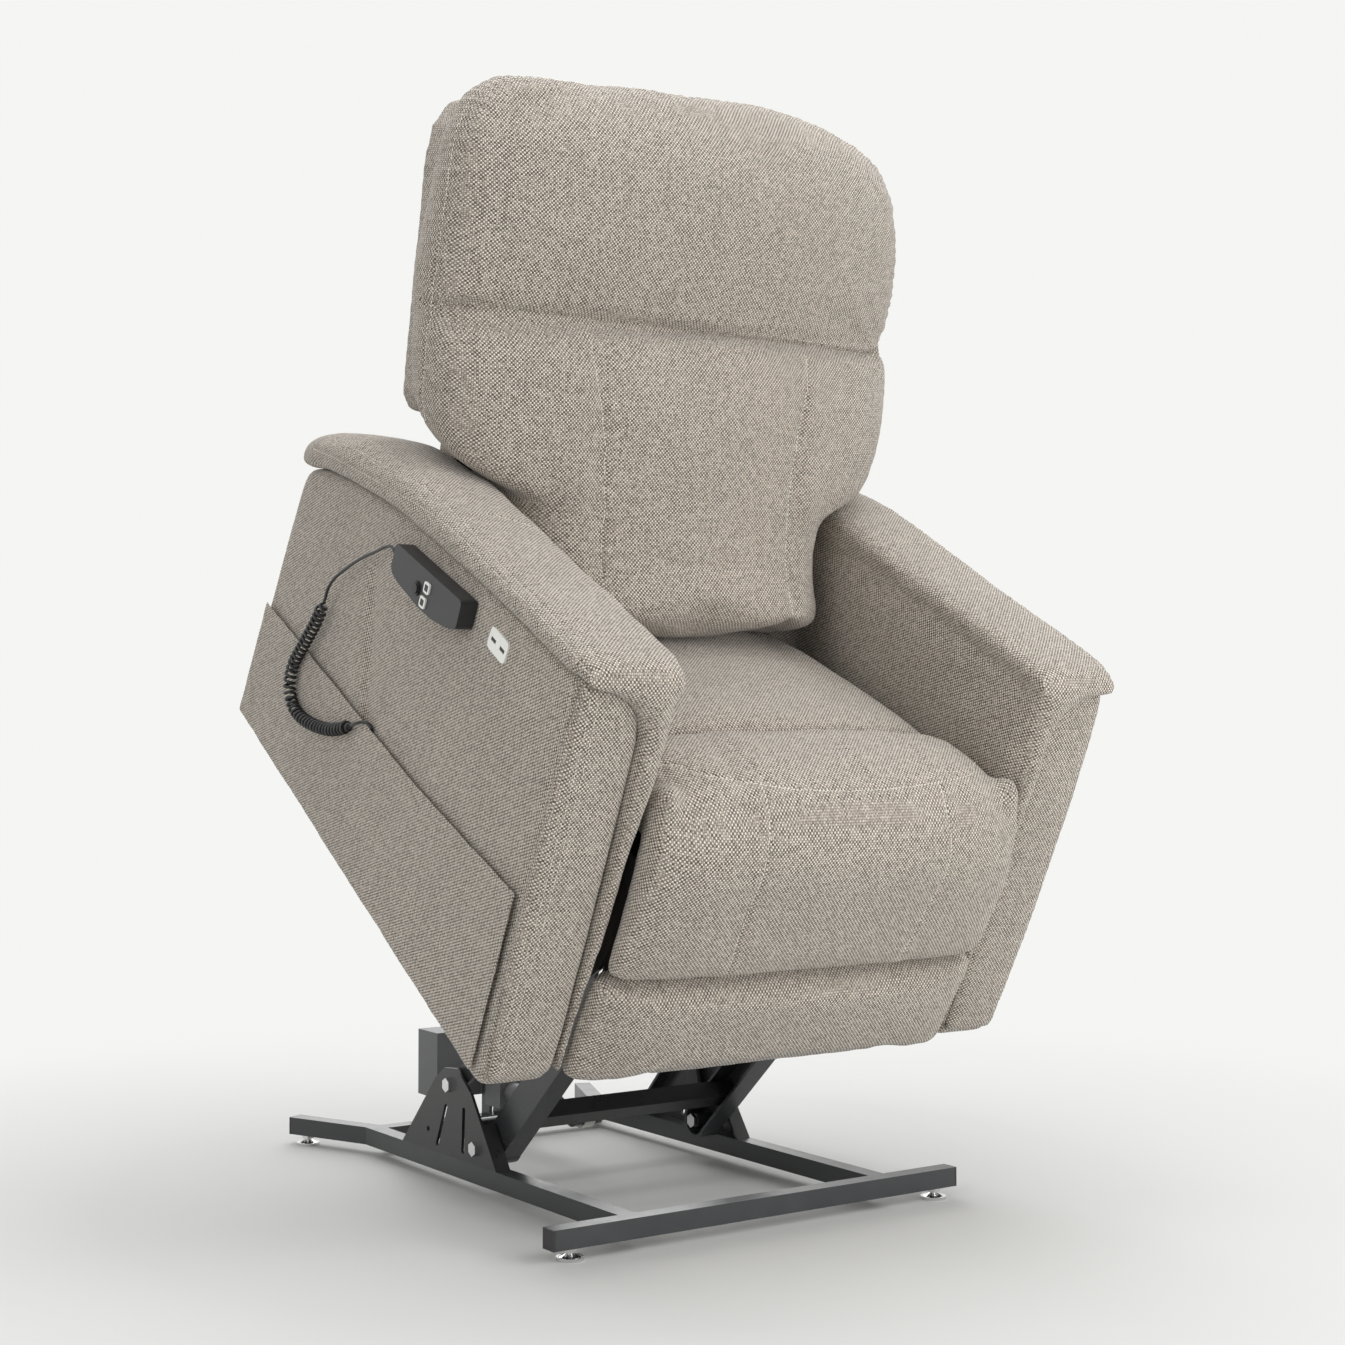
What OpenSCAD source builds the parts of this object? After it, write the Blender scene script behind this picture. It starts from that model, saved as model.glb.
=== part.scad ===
// Power lift recliner in its raised pose, for one person. Millimetres and degrees.
// The chair faces -Y, +Z is up, the floor is at zero, and the sitter's left is +X.

/* [Floor frame] */
// Side of the square tube
tube_w = 25; // [20:1:28]
// Wall of the square tube
tube_wall = 2; // [1.5:0.5:3]
// Front bar's front face to the ends of the side rails
frame_len = 831; // [800:1:880]
// Width over the two side rails
frame_w = 416; // [412:1:424]
// Length of the front bar
front_bar_len = 622; // [560:1:680]
// How far each rear end splays out
rail_splay = 57; // [30:1:80]
// Length of each splayed end
splay_len = 134; // [110:1:170]
// Rear cross bar's front face, from the front bar's front face
rear_bar_y = 676; // [650:1:690]
// Height of the tubes above the floor
ride_h = 15; // [14:1:20]
// Diameter of a levelling foot
foot_d = 34; // [28:1:40]

/* [Towers] */
// Front foot of a tower, from the front bar's front face
tower_y = 318; // [312:1:324]
// Length of a tower along the rail
tower_len = 264; // [250:1:280]
// Height of a tower above the rail
tower_h = 122; // [118:1:130]
// Thickness of the pressed plate
plate_t = 4; // [3:0.5:5]
// Width of the folded flanges
flange_w = 18; // [14:1:20]
// Diameter of the pivot bolts
bolt_d = 12; // [10:1:14]

/* [Lift links] */
// Lower pivot, from the front bar's front face
low_pivot_y = 373; // [368:1:378]
// Lower pivot above the floor
low_pivot_z = 62; // [60:1:65]
// Upper pivot, from the front bar's front face
high_pivot_y = 446; // [442:1:450]
// Upper pivot above the floor
high_pivot_z = 137; // [134:1:140]
// Front arm, pivot to pivot
arm_len = 338; // [334:1:342]
// Rear link, pivot to pivot
link_len = 369.4; // [366:0.2:373]
// Width of the front arm
arm_w = 48; // [40:1:52]
// Width of the rear link
link_w = 28; // [22:1:32]
// Crank of the rear link, pivot to torque tube
crank_len = 60; // [56:1:64]
// How far the raised chair leans forward
tilt = 32.4; // [30:0.1:34]

/* [Chair body] */
// Width over the side panels
body_w = 790; // [770:2:810]
// Width between the arms
inner_w = 610; // [600:2:620]
// Length of a side panel
side_len = 824; // [800:1:850]
// Height of a side panel at its front
side_h = 520; // [500:1:540]
// How far the arm pads stand out past the side panels
pad_overhang = 13; // [8:1:16]
// Thickness of the arm pads
pad_t = 44; // [36:1:50]
// Height of the pocket's edge at the rear
pocket_h = 190; // [160:1:220]
// Inner gap of the pocket
pocket_gap = 6; // [5:0.5:7]
// Fabric of the pocket
pocket_t = 2; // [1.5:0.5:2.5]

/* [Seat] */
// Width of the seat cushion
seat_w = 528; // [510:2:530]
// Thickness of the seat cushion
seat_t = 112; // [100:1:118]
// Length of the seat cushion
seat_len = 392; // [370:1:396]
// Side of the seat box tubes
box_tube = 30; // [25:1:32]

/* [Leg rest] */
// Width of the leg rest pads
leg_w = 572; // [550:2:576]
// Height of the upper pad
leg_h = 112; // [104:1:112]
// Height of the lower panel
foot_h = 146; // [136:1:148]
// Thickness of the leg rest pads
leg_t = 60; // [52:1:64]
// Hinge of the leg rest to its lower link pin
leg_lever = 140; // [130:1:142]

/* [Back] */
// Half width of the headrest
back_half = 370; // [355:1:380]
// Half width of the back between the arms
back_low_half = 256; // [246:1:258]
// Hinge to the top of the headrest
back_h = 776; // [750:1:810]
// Hinge to the crease between the cushions
crease_h = 468; // [450:1:490]
// Lean of the upright back
back_lean = 20.7; // [18:0.1:24]

/* [Handset] */
// Length of the handset
handset_len = 182; // [175:1:190]
// Thickness of the handset
handset_t = 22; // [18:1:24]
// Diameter of the cord
cord_d = 4.2; // [3.8:0.1:4.6]
// Outer diameter of the curls
coil_d = 18; // [16:0.5:20]

/* [Hidden] */
$fn = 48;

// Clearances: cut overrun, between bodies, and of a shaft in its bore
cut = 1;
gap = 0.4;
run_fit = 0.06;
// Radial room in the open pivots, along and across the rods
loose = 5.6;
rod_play = 3.4;
slot_play = 8.4;

// Where the front bar's front face lies before the origin
frame_front = 312;
rail_end_drop = 22;
foot_plate_h = 4;
foot_cone_h = 4;
foot_stem_d = 10;
foot_nut_d = 19;
foot_nut_h = 5;
foot_inset = 27;
cap_t = 3;
bar_front = -frame_front;
bar_back = bar_front + tube_w;
splay_start = frame_len - splay_len;
splay_angle = atan(rail_splay / splay_len);
rail_half = frame_w / 2;
tube_top = ride_h + tube_w;
leg_foot_x = front_bar_len / 2 - foot_inset;

// Tower
web_in = rail_half - plate_t;
tower_front = tower_y - frame_front;
tower_outline_shares = [[0, 0], [0.26, 0.77], [0.41, 1], [0.54, 0.97], [0.63, 0.84], [1, 0]];
tower_slot_w = 8;
tower_slots_shares = [[[0.52, 0.54], [0.61, 0.1]], [[0.33, 0.56], [0.34, 0.11]]];
tower_hole_share = [0.71, 0.23];
low_pivot = [low_pivot_y - frame_front, low_pivot_z];
high_pivot = [high_pivot_y - frame_front, high_pivot_z];
strap_share = 0.6;
boss_w = 28;
head_d = 20;
head_h = 6;

// Lift links in plan, and their angles from +Y
arm_out = web_in - 22;
arm_depth = 32;
arm_wall = 4;
arm_angle = 138;
arm_swing = 40;
link_angle = 146.3;
link_swing = 37.8;
link_t = 6;
link_out = web_in - 6;
crank_angle = 255;
torque_d = 22;
cross_along = 68;
eye_w = 36;
lug_gap = 14;
lug_w = 24;
collar_d = 34;
collar_w = 8;
arm_top = low_pivot + polar(arm_len, arm_angle);
arm_rest = low_pivot + polar(arm_len, arm_angle + arm_swing);
link_top = high_pivot + polar(link_len, link_angle);
crank_end = high_pivot + polar(crank_len, crank_angle);

// Chair body, described as it stands when lowered
body_setback = 740;
body_low = 50;
body_rear = body_setback - frame_front;
side_half = body_w / 2;
arm_in = inner_w / 2;
link_rest = lower(link_top);

// Carriage
carriage_out = web_in - gap;
carriage_in = carriage_out - 4.6;
washer_d = 32;
washer_t = 3;
spacer_d = 20;
groove_most = 0.7;
bar_groove_share = 0.55;
widest_share = 0.35;
// Width of a link between its round ends
flat_share = 0.96;

// Seat box, in lengths forward of the body's rear and up from its lower edge
box_rear = 60;
box_front = 700;
box_low = 142;
box_side = 232;
box_side_w = 28;
box_wall = 2.5;
mid_cross = 460;
rest_rear = 288;
rest_front = 664;
flange_rear = 560;
flange_front = 714;
plate_in = 262;
plate_out = 266;
bracket_rear = 330;
bracket_front = 616;
bracket_len = 50;
bracket_h = 30;
spring_n = 4;
spring_w = 4;
spring_turns = 10;
spring_amp = 44;
seat_rear = 300;
seat_rear_h = 231;
seat_slope = 9.6;

// Leg rest
leg_hinge = [775, 285];
link_offset = [-45, -80];
board_t = 12;
board_f = 789;
leg_pad_low = 164;
foot_pad_low = 11;
leg_pivot = leg_hinge + link_offset;
leg_drop = leg_hinge - [0, leg_lever];
link_drop = leg_drop + link_offset;
leg_crank = 50;
leg_crank_lean = 30;
leg_tube_d = 24;
drive_w = 20;
ear_in = 254;
board_half = ear_in;
drive_in = 246;
crank_in = 238;
ear_t = 5;
ear_w = 26;
leg_motor_pin = [504, 165];
leg_rod_pin = leg_pivot + leg_crank * [-sin(leg_crank_lean), -cos(leg_crank_lean)];
motor_x = 60;

// Back, in lengths up its own plane and out from it
back_hinge = [243, 240];
back_crank = 90;
back_crank_lean = 15;
back_motor_pin = [447, 157];
back_rod_pin = back_hinge + back_crank * [-sin(back_crank_lean), -cos(back_crank_lean)];
shell_d = 46;
shell_wall = 4;
shell_low = 44;
frame_in = 226;
frame_tube = 25;

// Actuators
lift_pin_z = 80;
lift_motor_pin = [rear_bar_y - frame_front + tube_w / 2, lift_pin_z];
housing_d = 44;
sleeve_d = 30;
rod_d = 18;
can_d = 54;
can_len = 86;
pin_d = 10;
clevis_t = 5;
block_start = 16;
bore_start = 64;
lift_sleeve = 184;
lift_rod_start = 120;
leg_sleeve = 183;
leg_rod_start = 66;
back_sleeve = 167;
back_rod_start = 110;

// Small parts
control_w = 120;
control_l = 60;
control_h = 40;
inlet_w = 24;
inlet_h = 18;
inlet_depth = 14;
foot_gap = 4;
foot_more = 6;
pad_groove = 150;
frame_back = 36;
frame_tall = 600;
socket_at = [586, 462];
socket_w = 45;
socket_h = 28;
socket_t = 3;
port_w = 12;
port_h = 5;
hand_at = [341, 443];
hand_turn = 6.5;
hand_w = 49;
hand_shares = [[0, -0.38], [0.12, -0.52], [0.46, -0.65], [0.66, -0.65], [0.88, -0.53], [1, -0.38], [1, 0.35],
    [0, 0.35]];
hand_r = 7;
holder_t = 2.5;
holder_in = 3;
holder_lip = 12;
holder_w = 14;
holder_shares = [0.47, 0.58];
hand_out = side_half + holder_t + handset_t;
knob_at = [74, -12];
knob_d = 17;
key_at = [[99, -1.5], [96, -21]];
key_w = 14;
key_depth = 6;
key_gap = 0.5;
key_travel = 1.5;
key_out = 2;
relief_d = 13;
relief_len = 23;
relief_ribs = 6;

// Cord route beside the right arm: forward, up, and out from the mid-plane
stretch_pts = [[317.9, 440.37, 408.5], [312, 439.7, 408.5], [301, 434, 408.5], [285, 420, 409], [264, 402, 409],
    [242, 381, 410], [222, 359, 411], [206, 340, 412], [196, 324, 412.5], [192, 312, 413], [191, 303, 413]];
coil_pts = [[191, 303, 413], [191, 292, 413], [184, 256, 413], [168, 212, 413], [155, 172, 413],
    [160, 142, 413], [184, 127, 413], [216, 128, 413], [258, 142, 413], [298, 162, 413], [328, 184, 413],
    [345, 199, 413], [353, 207, 412], [360, 213, 409], [366, 215.5, 404], [371, 213, 399.5],
    [373, 206, 398], [373, 198, 398]];
coil_turns = 42;
coil_steps = 8;
coil_sides = 6;
stretch_sides = 8;
coil_first_share = 0.022;
coil_last_share = 0.88;
coil_ease_share = 0.04;
sleeve_len = 16;
sleeve_w = 5.6;

function polar(r, a) = [r * cos(a), r * sin(a)];
function turn(p, a) = [p[0] * cos(a) - p[1] * sin(a), p[0] * sin(a) + p[1] * cos(a)];
// A point of the raised chair, in the lowered chair's own place
function lower(p) = arm_rest + turn(p - arm_top, -tilt);
// A point so far forward of the body's rear and up from its lower edge, as [y, z]
function at(p) = [body_rear - p[0], body_low + p[1]];
// The same for a point up the back's plane and out from it
function on_back_at(v, n) = at(back_hinge + [n * cos(back_lean) - v * sin(back_lean),
    v * cos(back_lean) + n * sin(back_lean)]);
function mix(a, b, t) = a + (b - a) * t;
function scaled(shares, w, h) = [for (s = shares) [s[0] * w, s[1] * h]];

// Faces of a closed skin through rings of n points, m rings, with flat triangle ends
function skin_faces(m, n) = concat(
    [for (j = [0 : m - 2], i = [0 : n - 1]) [j * n + i, (j + 1) * n + i, (j + 1) * n + (i + 1) % n]],
    [for (j = [0 : m - 2], i = [0 : n - 1]) [j * n + i, (j + 1) * n + (i + 1) % n, j * n + (i + 1) % n]],
    [for (i = [0 : n - 1]) [m * n, i, (i + 1) % n]],
    [for (i = [0 : n - 1]) [m * n + 1, (m - 1) * n + (i + 1) % n, (m - 1) * n + i]]);
function middle(ring) = [for (k = [0 : 2]) [for (p = ring) 1] * [for (p = ring) p[k]] / len(ring)];
module skin(rings) {
    n = len(rings[0]);
    m = len(rings);
    polyhedron(concat([for (r = rings, p = r) p], [middle(rings[0])], [middle(rings[m - 1])]),
        skin_faces(m, n));
}

// Half a ring of a cushion: w is its half width, o and f how far out its back and front lie, g a
// groove's place as a share of w, d its depth and p how square it is. Each point is [across, out].
function half_ring(w, o, f, g, d, p) = let (b = mix(o, f, widest_share))
    concat([[0.86 * w, o], [0.96 * w, mix(o, b, 0.35)]],
        [for (s = [1, 0.99, 0.96, 0.89, 0.78, g + 0.05, g, g - 0.05, 0.3, 0.15])
            [s * w, b + (f - b) * pow(1 - pow(s, p), 1 / p) - (s == g ? d : 0)]]);
function mirrored(ring) = [for (q = ring) [-q[0], q[1]]];
function back_to_front(list) = [for (i = [len(list) - 1 : -1 : 0]) list[i]];
function cushion_ring(w, o, f, g, d, p) = concat([[0, o]],
    mirrored(half_ring(w, o, f, g, d, p)), [[0, f]], back_to_front(half_ring(w, o, f, g, d, p)));
// A cushion in its own frame of across, along and out. Each row holds its place along, its half
// width, its front, its slant and its back. The groove lies groove_x out from the middle.
function cushion(rows, groove_x, d, p) = [for (r = rows)
    [for (q = cushion_ring(r[1], r[4], r[2], min(groove_x / r[1], groove_most), d, p))
        [q[0], r[0] + r[3] * q[1] + sag_of(r) * q[0], q[1]]]];
// The stuffing has settled a little to one side, which a sixth value in a row gives
function sag_of(r) = len(r) > 5 ? r[5] : 0;
// A padded bar along the chair's depth: each row holds its place forward, its underside, its top,
// its half width, its slant and its skew in plan. Its underside falls by fall for each length forward.
function padded_bar(rows, x0, p, fall) = [for (r = rows)
    [for (q = cushion_ring(r[3], 0, r[2] - r[1], bar_groove_share, 0, p))
        let (o = at([r[0] - r[5] * q[0], r[1] + fall * r[5] * q[0]]))
        [x0 + q[0], o[0] + r[4] * q[1], o[1] + q[1]]]];
function unit(v) = v / norm(v);
function corner(ps, i) = let (n = len(ps),
    u = unit(ps[i] - ps[(i + n - 1) % n]),
    w = unit(ps[(i + 1) % n] - ps[i]))
    ([-u[1], u[0]] + [-w[1], w[0]]) / (1 + u * w);
// An outline moved inwards by d, and an outline with its corners rounded by about r
function inset(ps, d) = [for (i = [0 : len(ps) - 1]) ps[i] + d * corner(ps, i)];
function soften(ps, r) = [for (i = [0 : len(ps) - 1], t = [0 : 0.25 : 1])
    let (n = len(ps),
        a = ps[i] + r * unit(ps[(i + n - 1) % n] - ps[i]),
        b = ps[i] + r * unit(ps[(i + 1) % n] - ps[i]))
    mix(mix(a, ps[i], t), mix(ps[i], b, t), t)];

module plate(x0, t) {
    translate([x0, 0, 0])
        rotate([90, 0, 90])
            linear_extrude(t)
                children();
}

module pin_x(x0, x1, d, p) {
    translate([x0, p[0], p[1]])
        rotate([0, 90, 0])
            cylinder(d = d, h = x1 - x0);
}

module hex_x(x0, x1, d, p) {
    translate([x0, p[0], p[1]])
        rotate([0, 90, 0])
            cylinder(d = d, h = x1 - x0, $fn = 6);
}

module bar2d(a, b, w) {
    translate(a)
        rotate(atan2(b[1] - a[1], b[0] - a[0]))
            translate([0, -w * flat_share / 2])
                square([norm(b - a), w * flat_share]);
    translate(a)
        circle(d = w);
    translate(b)
        circle(d = w);
}

module both_sides() {
    children();
    mirror([1, 0, 0])
        children();
}

module right_side() {
    mirror([1, 0, 0])
        children();
}

module lifted() {
    translate([0, arm_top[0], arm_top[1]])
        rotate([tilt, 0, 0])
            translate([0, -arm_rest[0], -arm_rest[1]])
                children();
}

// Floor frame
function rail_side(w) = [[rail_half - w, bar_back],
    [rail_half - w, splay_start - frame_front + w * tan(splay_angle / 2)],
    [rail_half + rail_splay - w * cos(splay_angle), frame_len - frame_front + w * sin(splay_angle)]];

module rail_outline(w0, w1, extra) {
    a = rail_side(w0);
    b = rail_side(w1);
    run = extra * [sin(splay_angle), cos(splay_angle)];
    polygon([a[0] - [0, extra], a[1], a[2] + run, b[2] + run, b[1], b[0] - [0, extra]]);
}

module rail() {
    color("dimgray")
        difference() {
            translate([0, 0, ride_h])
                linear_extrude(tube_w)
                    rail_outline(0, tube_w, 0);
            translate([0, 0, ride_h + tube_wall])
                linear_extrude(tube_w - 2 * tube_wall)
                    rail_outline(tube_wall, tube_w - tube_wall, cut);
            translate([foot_x(), foot_y(), ride_h - cut])
                cylinder(d = foot_stem_d + gap, h = tube_wall + 2 * cut);
        }
}

function foot_x() = rail_half + rail_splay - tube_w / 2 - rail_end_drop * sin(splay_angle);
function foot_y() = frame_len - frame_front - rail_end_drop * cos(splay_angle) + tube_w / 2 * sin(splay_angle);

module cross_bar(length, y) {
    difference() {
        translate([-length / 2, y, ride_h])
            cube([length, tube_w, tube_w]);
        translate([-length / 2 - cut, y + tube_wall, ride_h + tube_wall])
            cube([length + 2 * cut, tube_w - 2 * tube_wall, tube_w - 2 * tube_wall]);
    }
}

module front_bar() {
    color("dimgray")
        difference() {
            cross_bar(front_bar_len, bar_front);
            both_sides()
                translate([leg_foot_x, bar_front + tube_w / 2, ride_h - cut])
                    cylinder(d = foot_stem_d + gap, h = tube_wall + 2 * cut);
        }
}

module rear_bar() {
    color("dimgray") {
        cross_bar(frame_w - 2 * tube_w, rear_bar_y - frame_front);
        clevis(0, lift_motor_pin, [lift_motor_pin[0], tube_top], lug_gap);
    }
}

module end_cap() {
    cube([cap_t, tube_w, tube_w]);
}

module end_caps() {
    color("black")
        both_sides() {
            translate([front_bar_len / 2, bar_front, ride_h])
                end_cap();
            translate([rail_half + rail_splay, frame_len - frame_front, ride_h])
                rotate([0, 0, -splay_angle])
                    translate([-tube_w, 0, 0])
                        cube([tube_w, cap_t, tube_w]);
        }
}

module levelling_foot() {
    cylinder(d = foot_d, h = foot_plate_h);
    translate([0, 0, foot_plate_h])
        cylinder(d1 = foot_d - 2 * foot_plate_h, d2 = foot_stem_d, h = foot_cone_h);
    cylinder(d = foot_stem_d, h = ride_h + tube_w / 2);
    translate([0, 0, ride_h - foot_nut_h])
        cylinder(d = foot_nut_d, h = foot_nut_h, $fn = 6);
}

module levelling_feet() {
    color("silver")
        both_sides() {
            translate([leg_foot_x, bar_front + tube_w / 2, 0])
                levelling_foot();
            translate([foot_x(), foot_y(), 0])
                levelling_foot();
        }
}

// Towers: a pressed web on the rail's outer side, with a strap and a rear flange folded in
module tower_shape() {
    translate([tower_front, tube_top])
        polygon(scaled(tower_outline_shares, tower_len, tower_h));
}

module tower_edge(a, b) {
    p = scaled([tower_outline_shares[a], tower_outline_shares[b]], tower_len, tower_h);
    d = (p[1] - p[0]) / norm(p[1] - p[0]);
    inward = plate_t * [d[1], -d[0]];
    children_len = norm(p[1] - p[0]);
    translate([tower_front, tube_top])
        polygon([p[0], p[0] + d * children_len * (a == 0 ? strap_share : 1),
            p[0] + d * children_len * (a == 0 ? strap_share : 1) + inward, p[0] + inward]);
}

module tower() {
    color("dimgray")
        difference() {
            union() {
                plate(web_in, plate_t)
                    tower_shape();
                intersection() {
                    plate(web_in - flange_w, flange_w + plate_t)
                        tower_shape();
                    union() {
                        plate(web_in - flange_w, flange_w)
                            tower_edge(0, 1);
                        plate(web_in - flange_w, flange_w)
                            tower_edge(4, 5);
                    }
                }
                both_holes(web_in, boss_w - plate_t, 0);
            }
            both_holes(web_in - cut, bolt_d, cut);
            plate(web_in - cut, plate_t + 2 * cut)
                tower_slots();
        }
}

module both_holes(x0, d, extra) {
    pin_x(x0, rail_half + extra, d, low_pivot);
    pin_x(x0, rail_half + extra, d, high_pivot);
}

module tower_slots() {
    translate([tower_front, tube_top]) {
        for (s = tower_slots_shares) {
            p = scaled(s, tower_len, tower_h);
            bar2d(p[0], p[1], tower_slot_w);
        }
        translate([tower_hole_share[0] * tower_len, tower_hole_share[1] * tower_h])
            circle(d = tower_slot_w);
    }
}

module bolt_x(x_in, x_out, d, p) {
    pin_x(x_in, x_out, d, p);
    hex_x(x_out, x_out + head_h, head_d, p);
    hex_x(x_in - head_h, x_in, head_d, p);
}

module tower_bolts() {
    color("silver")
        both_sides() {
            bolt_x(arm_out - arm_depth - gap, rail_half, bolt_d, low_pivot);
            bolt_x(link_out - link_t - gap, rail_half, bolt_d, high_pivot);
        }
}

// Front lift arms: pressed trays with a rim, open towards the middle
module front_arm() {
    color("gray")
        difference() {
            union() {
                difference() {
                    plate(arm_out - arm_depth, arm_depth)
                        bar2d(low_pivot, arm_top, arm_w);
                    plate(arm_out - arm_depth - cut, arm_depth - arm_wall + cut)
                        bar2d(low_pivot, arm_top, arm_w - 2 * arm_wall);
                }
                pin_x(arm_out - arm_depth, arm_out, bolt_d + 2 * arm_wall, low_pivot);
                pin_x(arm_out - arm_depth, arm_out, bolt_d + 2 * arm_wall, arm_top);
            }
            pin_x(arm_out - arm_depth - cut, arm_out + cut, bolt_d + 2 * run_fit, low_pivot);
            pin_x(arm_out - arm_depth - cut, arm_out + cut, bolt_d + 2 * run_fit, arm_top);
        }
}

module lift_cross_tube() {
    c = low_pivot + polar(cross_along, arm_angle);
    x = arm_out - arm_wall;
    color("black")
        translate([-x, c[0], c[1]])
            rotate([arm_angle, 0, 0])
                difference() {
                    translate([0, -tube_w / 2, -tube_w / 2])
                        cube([2 * x, tube_w, tube_w]);
                    translate([-cut, tube_wall - tube_w / 2, tube_wall - tube_w / 2])
                        cube([2 * x + 2 * cut, tube_w - 2 * tube_wall, tube_w - 2 * tube_wall]);
                }
}

// Rear lift links: flat bell cranks on the upper pivots
module rear_link() {
    color("dimgray")
        plate(link_out - link_t, link_t)
            difference() {
                union() {
                    bar2d(high_pivot, link_top, link_w);
                    bar2d(high_pivot, crank_end, link_w);
                    translate(link_top)
                        circle(d = eye_w);
                }
                translate(high_pivot)
                    circle(d = bolt_d + 2 * run_fit);
                translate(link_top)
                    circle(d = bolt_d + 2 * loose);
            }
}

module torque_tube() {
    x = link_out - link_t;
    color("dimgray")
        difference() {
            union() {
                pin_x(-x, x, torque_d, crank_end);
                both_sides()
                    pin_x(lug_gap, lug_gap + collar_w, collar_d, crank_end);
            }
            pin_x(-x - cut, x + cut, torque_d - 2 * tube_wall, crank_end);
        }
}

// Actuators lie along y from their pin. The motor can stands out to one side.
module along(x0, a, b) {
    translate([x0, a[0], a[1]])
        rotate([atan2(b[1] - a[1], b[0] - a[0]), 0, 0])
            children();
}

module sleeve(sleeve_end) {
    rotate([-90, 0, 0])
        difference() {
            translate([0, 0, block_start + housing_d - cut])
                cylinder(d = sleeve_d, h = sleeve_end - block_start - housing_d + cut);
            translate([0, 0, bore_start])
                cylinder(d = rod_d + 2 * run_fit, h = sleeve_end);
        }
}

module motor_lug() {
    difference() {
        translate([-lug_gap / 2, -lug_w / 2, -lug_w / 2])
            cube([lug_gap, lug_w / 2 + block_start, lug_w]);
        rotate([0, 90, 0])
            cylinder(d = pin_d + 2 * run_fit, h = 2 * lug_w, center = true);
    }
}

module actuator(x0, a, b, sleeve_end, side) {
    color("gray")
        along(x0, a, b) {
            motor_lug();
            translate([-housing_d / 2, block_start, -housing_d / 2])
                cube([housing_d, housing_d, housing_d]);
            sleeve(sleeve_end);
            translate([side * housing_d / 2, block_start + can_d / 2, 0])
                rotate([0, side * 90, 0])
                    cylinder(d = can_d, h = can_len);
        }
}

module rod(x0, a, b, start, eye_w, eye_h) {
    eye_out = clevis_t;
    reach = norm(b - a);
    color("silver")
        along(x0, a, b)
            difference() {
                union() {
                    rotate([-90, 0, 0])
                        translate([0, 0, start])
                            cylinder(d = rod_d, h = reach - start - eye_w / 2);
                    translate([-rod_d / 2, reach, 0])
                        rotate([0, 90, 0])
                            linear_extrude(rod_d)
                                stadium(eye_h + 2 * eye_out, eye_w + 2 * eye_out);
                }
                translate([-rod_d, reach, 0])
                    rotate([0, 90, 0])
                        linear_extrude(2 * rod_d)
                            stadium(eye_h, eye_w);
            }
}

module stadium(length, w) {
    if (length > w)
        square([length - w, w], center = true);
    translate([(length - w) / 2, 0])
        circle(d = w);
    translate([(w - length) / 2, 0])
        circle(d = w);
}

// Two lugs about a rod or motor of width w, with the pin through both
module clevis(x0, p, q, w) {
    reach = w / 2 + gap + clevis_t;
    for (side = [-1, 1])
        plate(x0 + side * (reach - clevis_t / 2) - clevis_t / 2, clevis_t)
            bar2d(p, q, lug_w);
    pin_x(x0 - reach, x0 + reach, pin_d, p);
}

// The lift motor stands behind its pin
lift_box_w = 102;
lift_box_out = 82;
lift_box_l = 60;
lift_box_up = 84;
lift_box_down = 14;

module lift_motor() {
    color("gray")
        along(0, lift_motor_pin, crank_end) {
            motor_lug();
            translate([-housing_d / 2, block_start, -housing_d / 2])
                cube([housing_d, housing_d, housing_d]);
            sleeve(lift_sleeve);
            translate([-lug_gap / 2, -lug_w, -lug_w / 2])
                cube([lug_gap, lug_w / 2, lug_w]);
            translate([-lift_box_out, -lug_w - lift_box_l, -lift_box_up])
                cube([lift_box_w, lift_box_l, lift_box_up + lift_box_down]);
        }
}

module lift_rod() {
    eye = torque_d + 2 * rod_play;
    rod(0, lift_motor_pin, crank_end, lift_rod_start, eye, eye);
}

// Chair body: carriage plates hang on the links and carry the seat box
module carriage() {
    c = arm_rest;
    d = link_rest;
    top = at([0, box_low])[1];
    rear = at([flange_rear, 0])[0];
    front = at([flange_front, 0])[0];
    color("dimgray")
        difference() {
            union() {
                plate(carriage_in, carriage_out - carriage_in) {
                    bar2d(c, d, eye_w);
                    polygon([[rear, top], [d[0] + eye_w / 2, d[1]], d, c, [c[0] - eye_w / 2, c[1]], [front, top]]);
                }
                translate([carriage_in, front, top - plate_t])
                    cube([box_side + box_side_w - carriage_in, rear - front, plate_t]);
            }
            pin_x(carriage_in - cut, carriage_out + cut, bolt_d, c);
            pin_x(carriage_in - cut, carriage_out + cut, bolt_d, d);
        }
}

module carriage_pins() {
    color("silver")
        both_sides() {
            hex_x(arm_out - arm_depth - gap - head_h, arm_out - arm_depth - gap, head_d, arm_rest);
            pin_x(arm_out - arm_depth - gap, carriage_out, bolt_d, arm_rest);
            pin_x(arm_out + gap, carriage_in, spacer_d, arm_rest);
            pin_x(link_out - link_t - gap - washer_t, link_out - link_t - gap, washer_d, link_rest);
            pin_x(link_out - link_t - gap, carriage_out, bolt_d, link_rest);
        }
}

// A tube across the chair from one side rail to the other, or between them
module cross_tube(half, f, u, w, h) {
    translate([-half, at([f + w, u])[0], at([f, u])[1]])
        difference() {
            cube([2 * half, w, h]);
            translate([-cut, box_wall, box_wall])
                cube([2 * half + 2 * cut, w - 2 * box_wall, h - 2 * box_wall]);
        }
}

module on_seat() {
    p = at([seat_rear, seat_rear_h]);
    translate([0, p[0], p[1]])
        rotate([-seat_slope, 0, 0])
            children();
}

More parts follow.
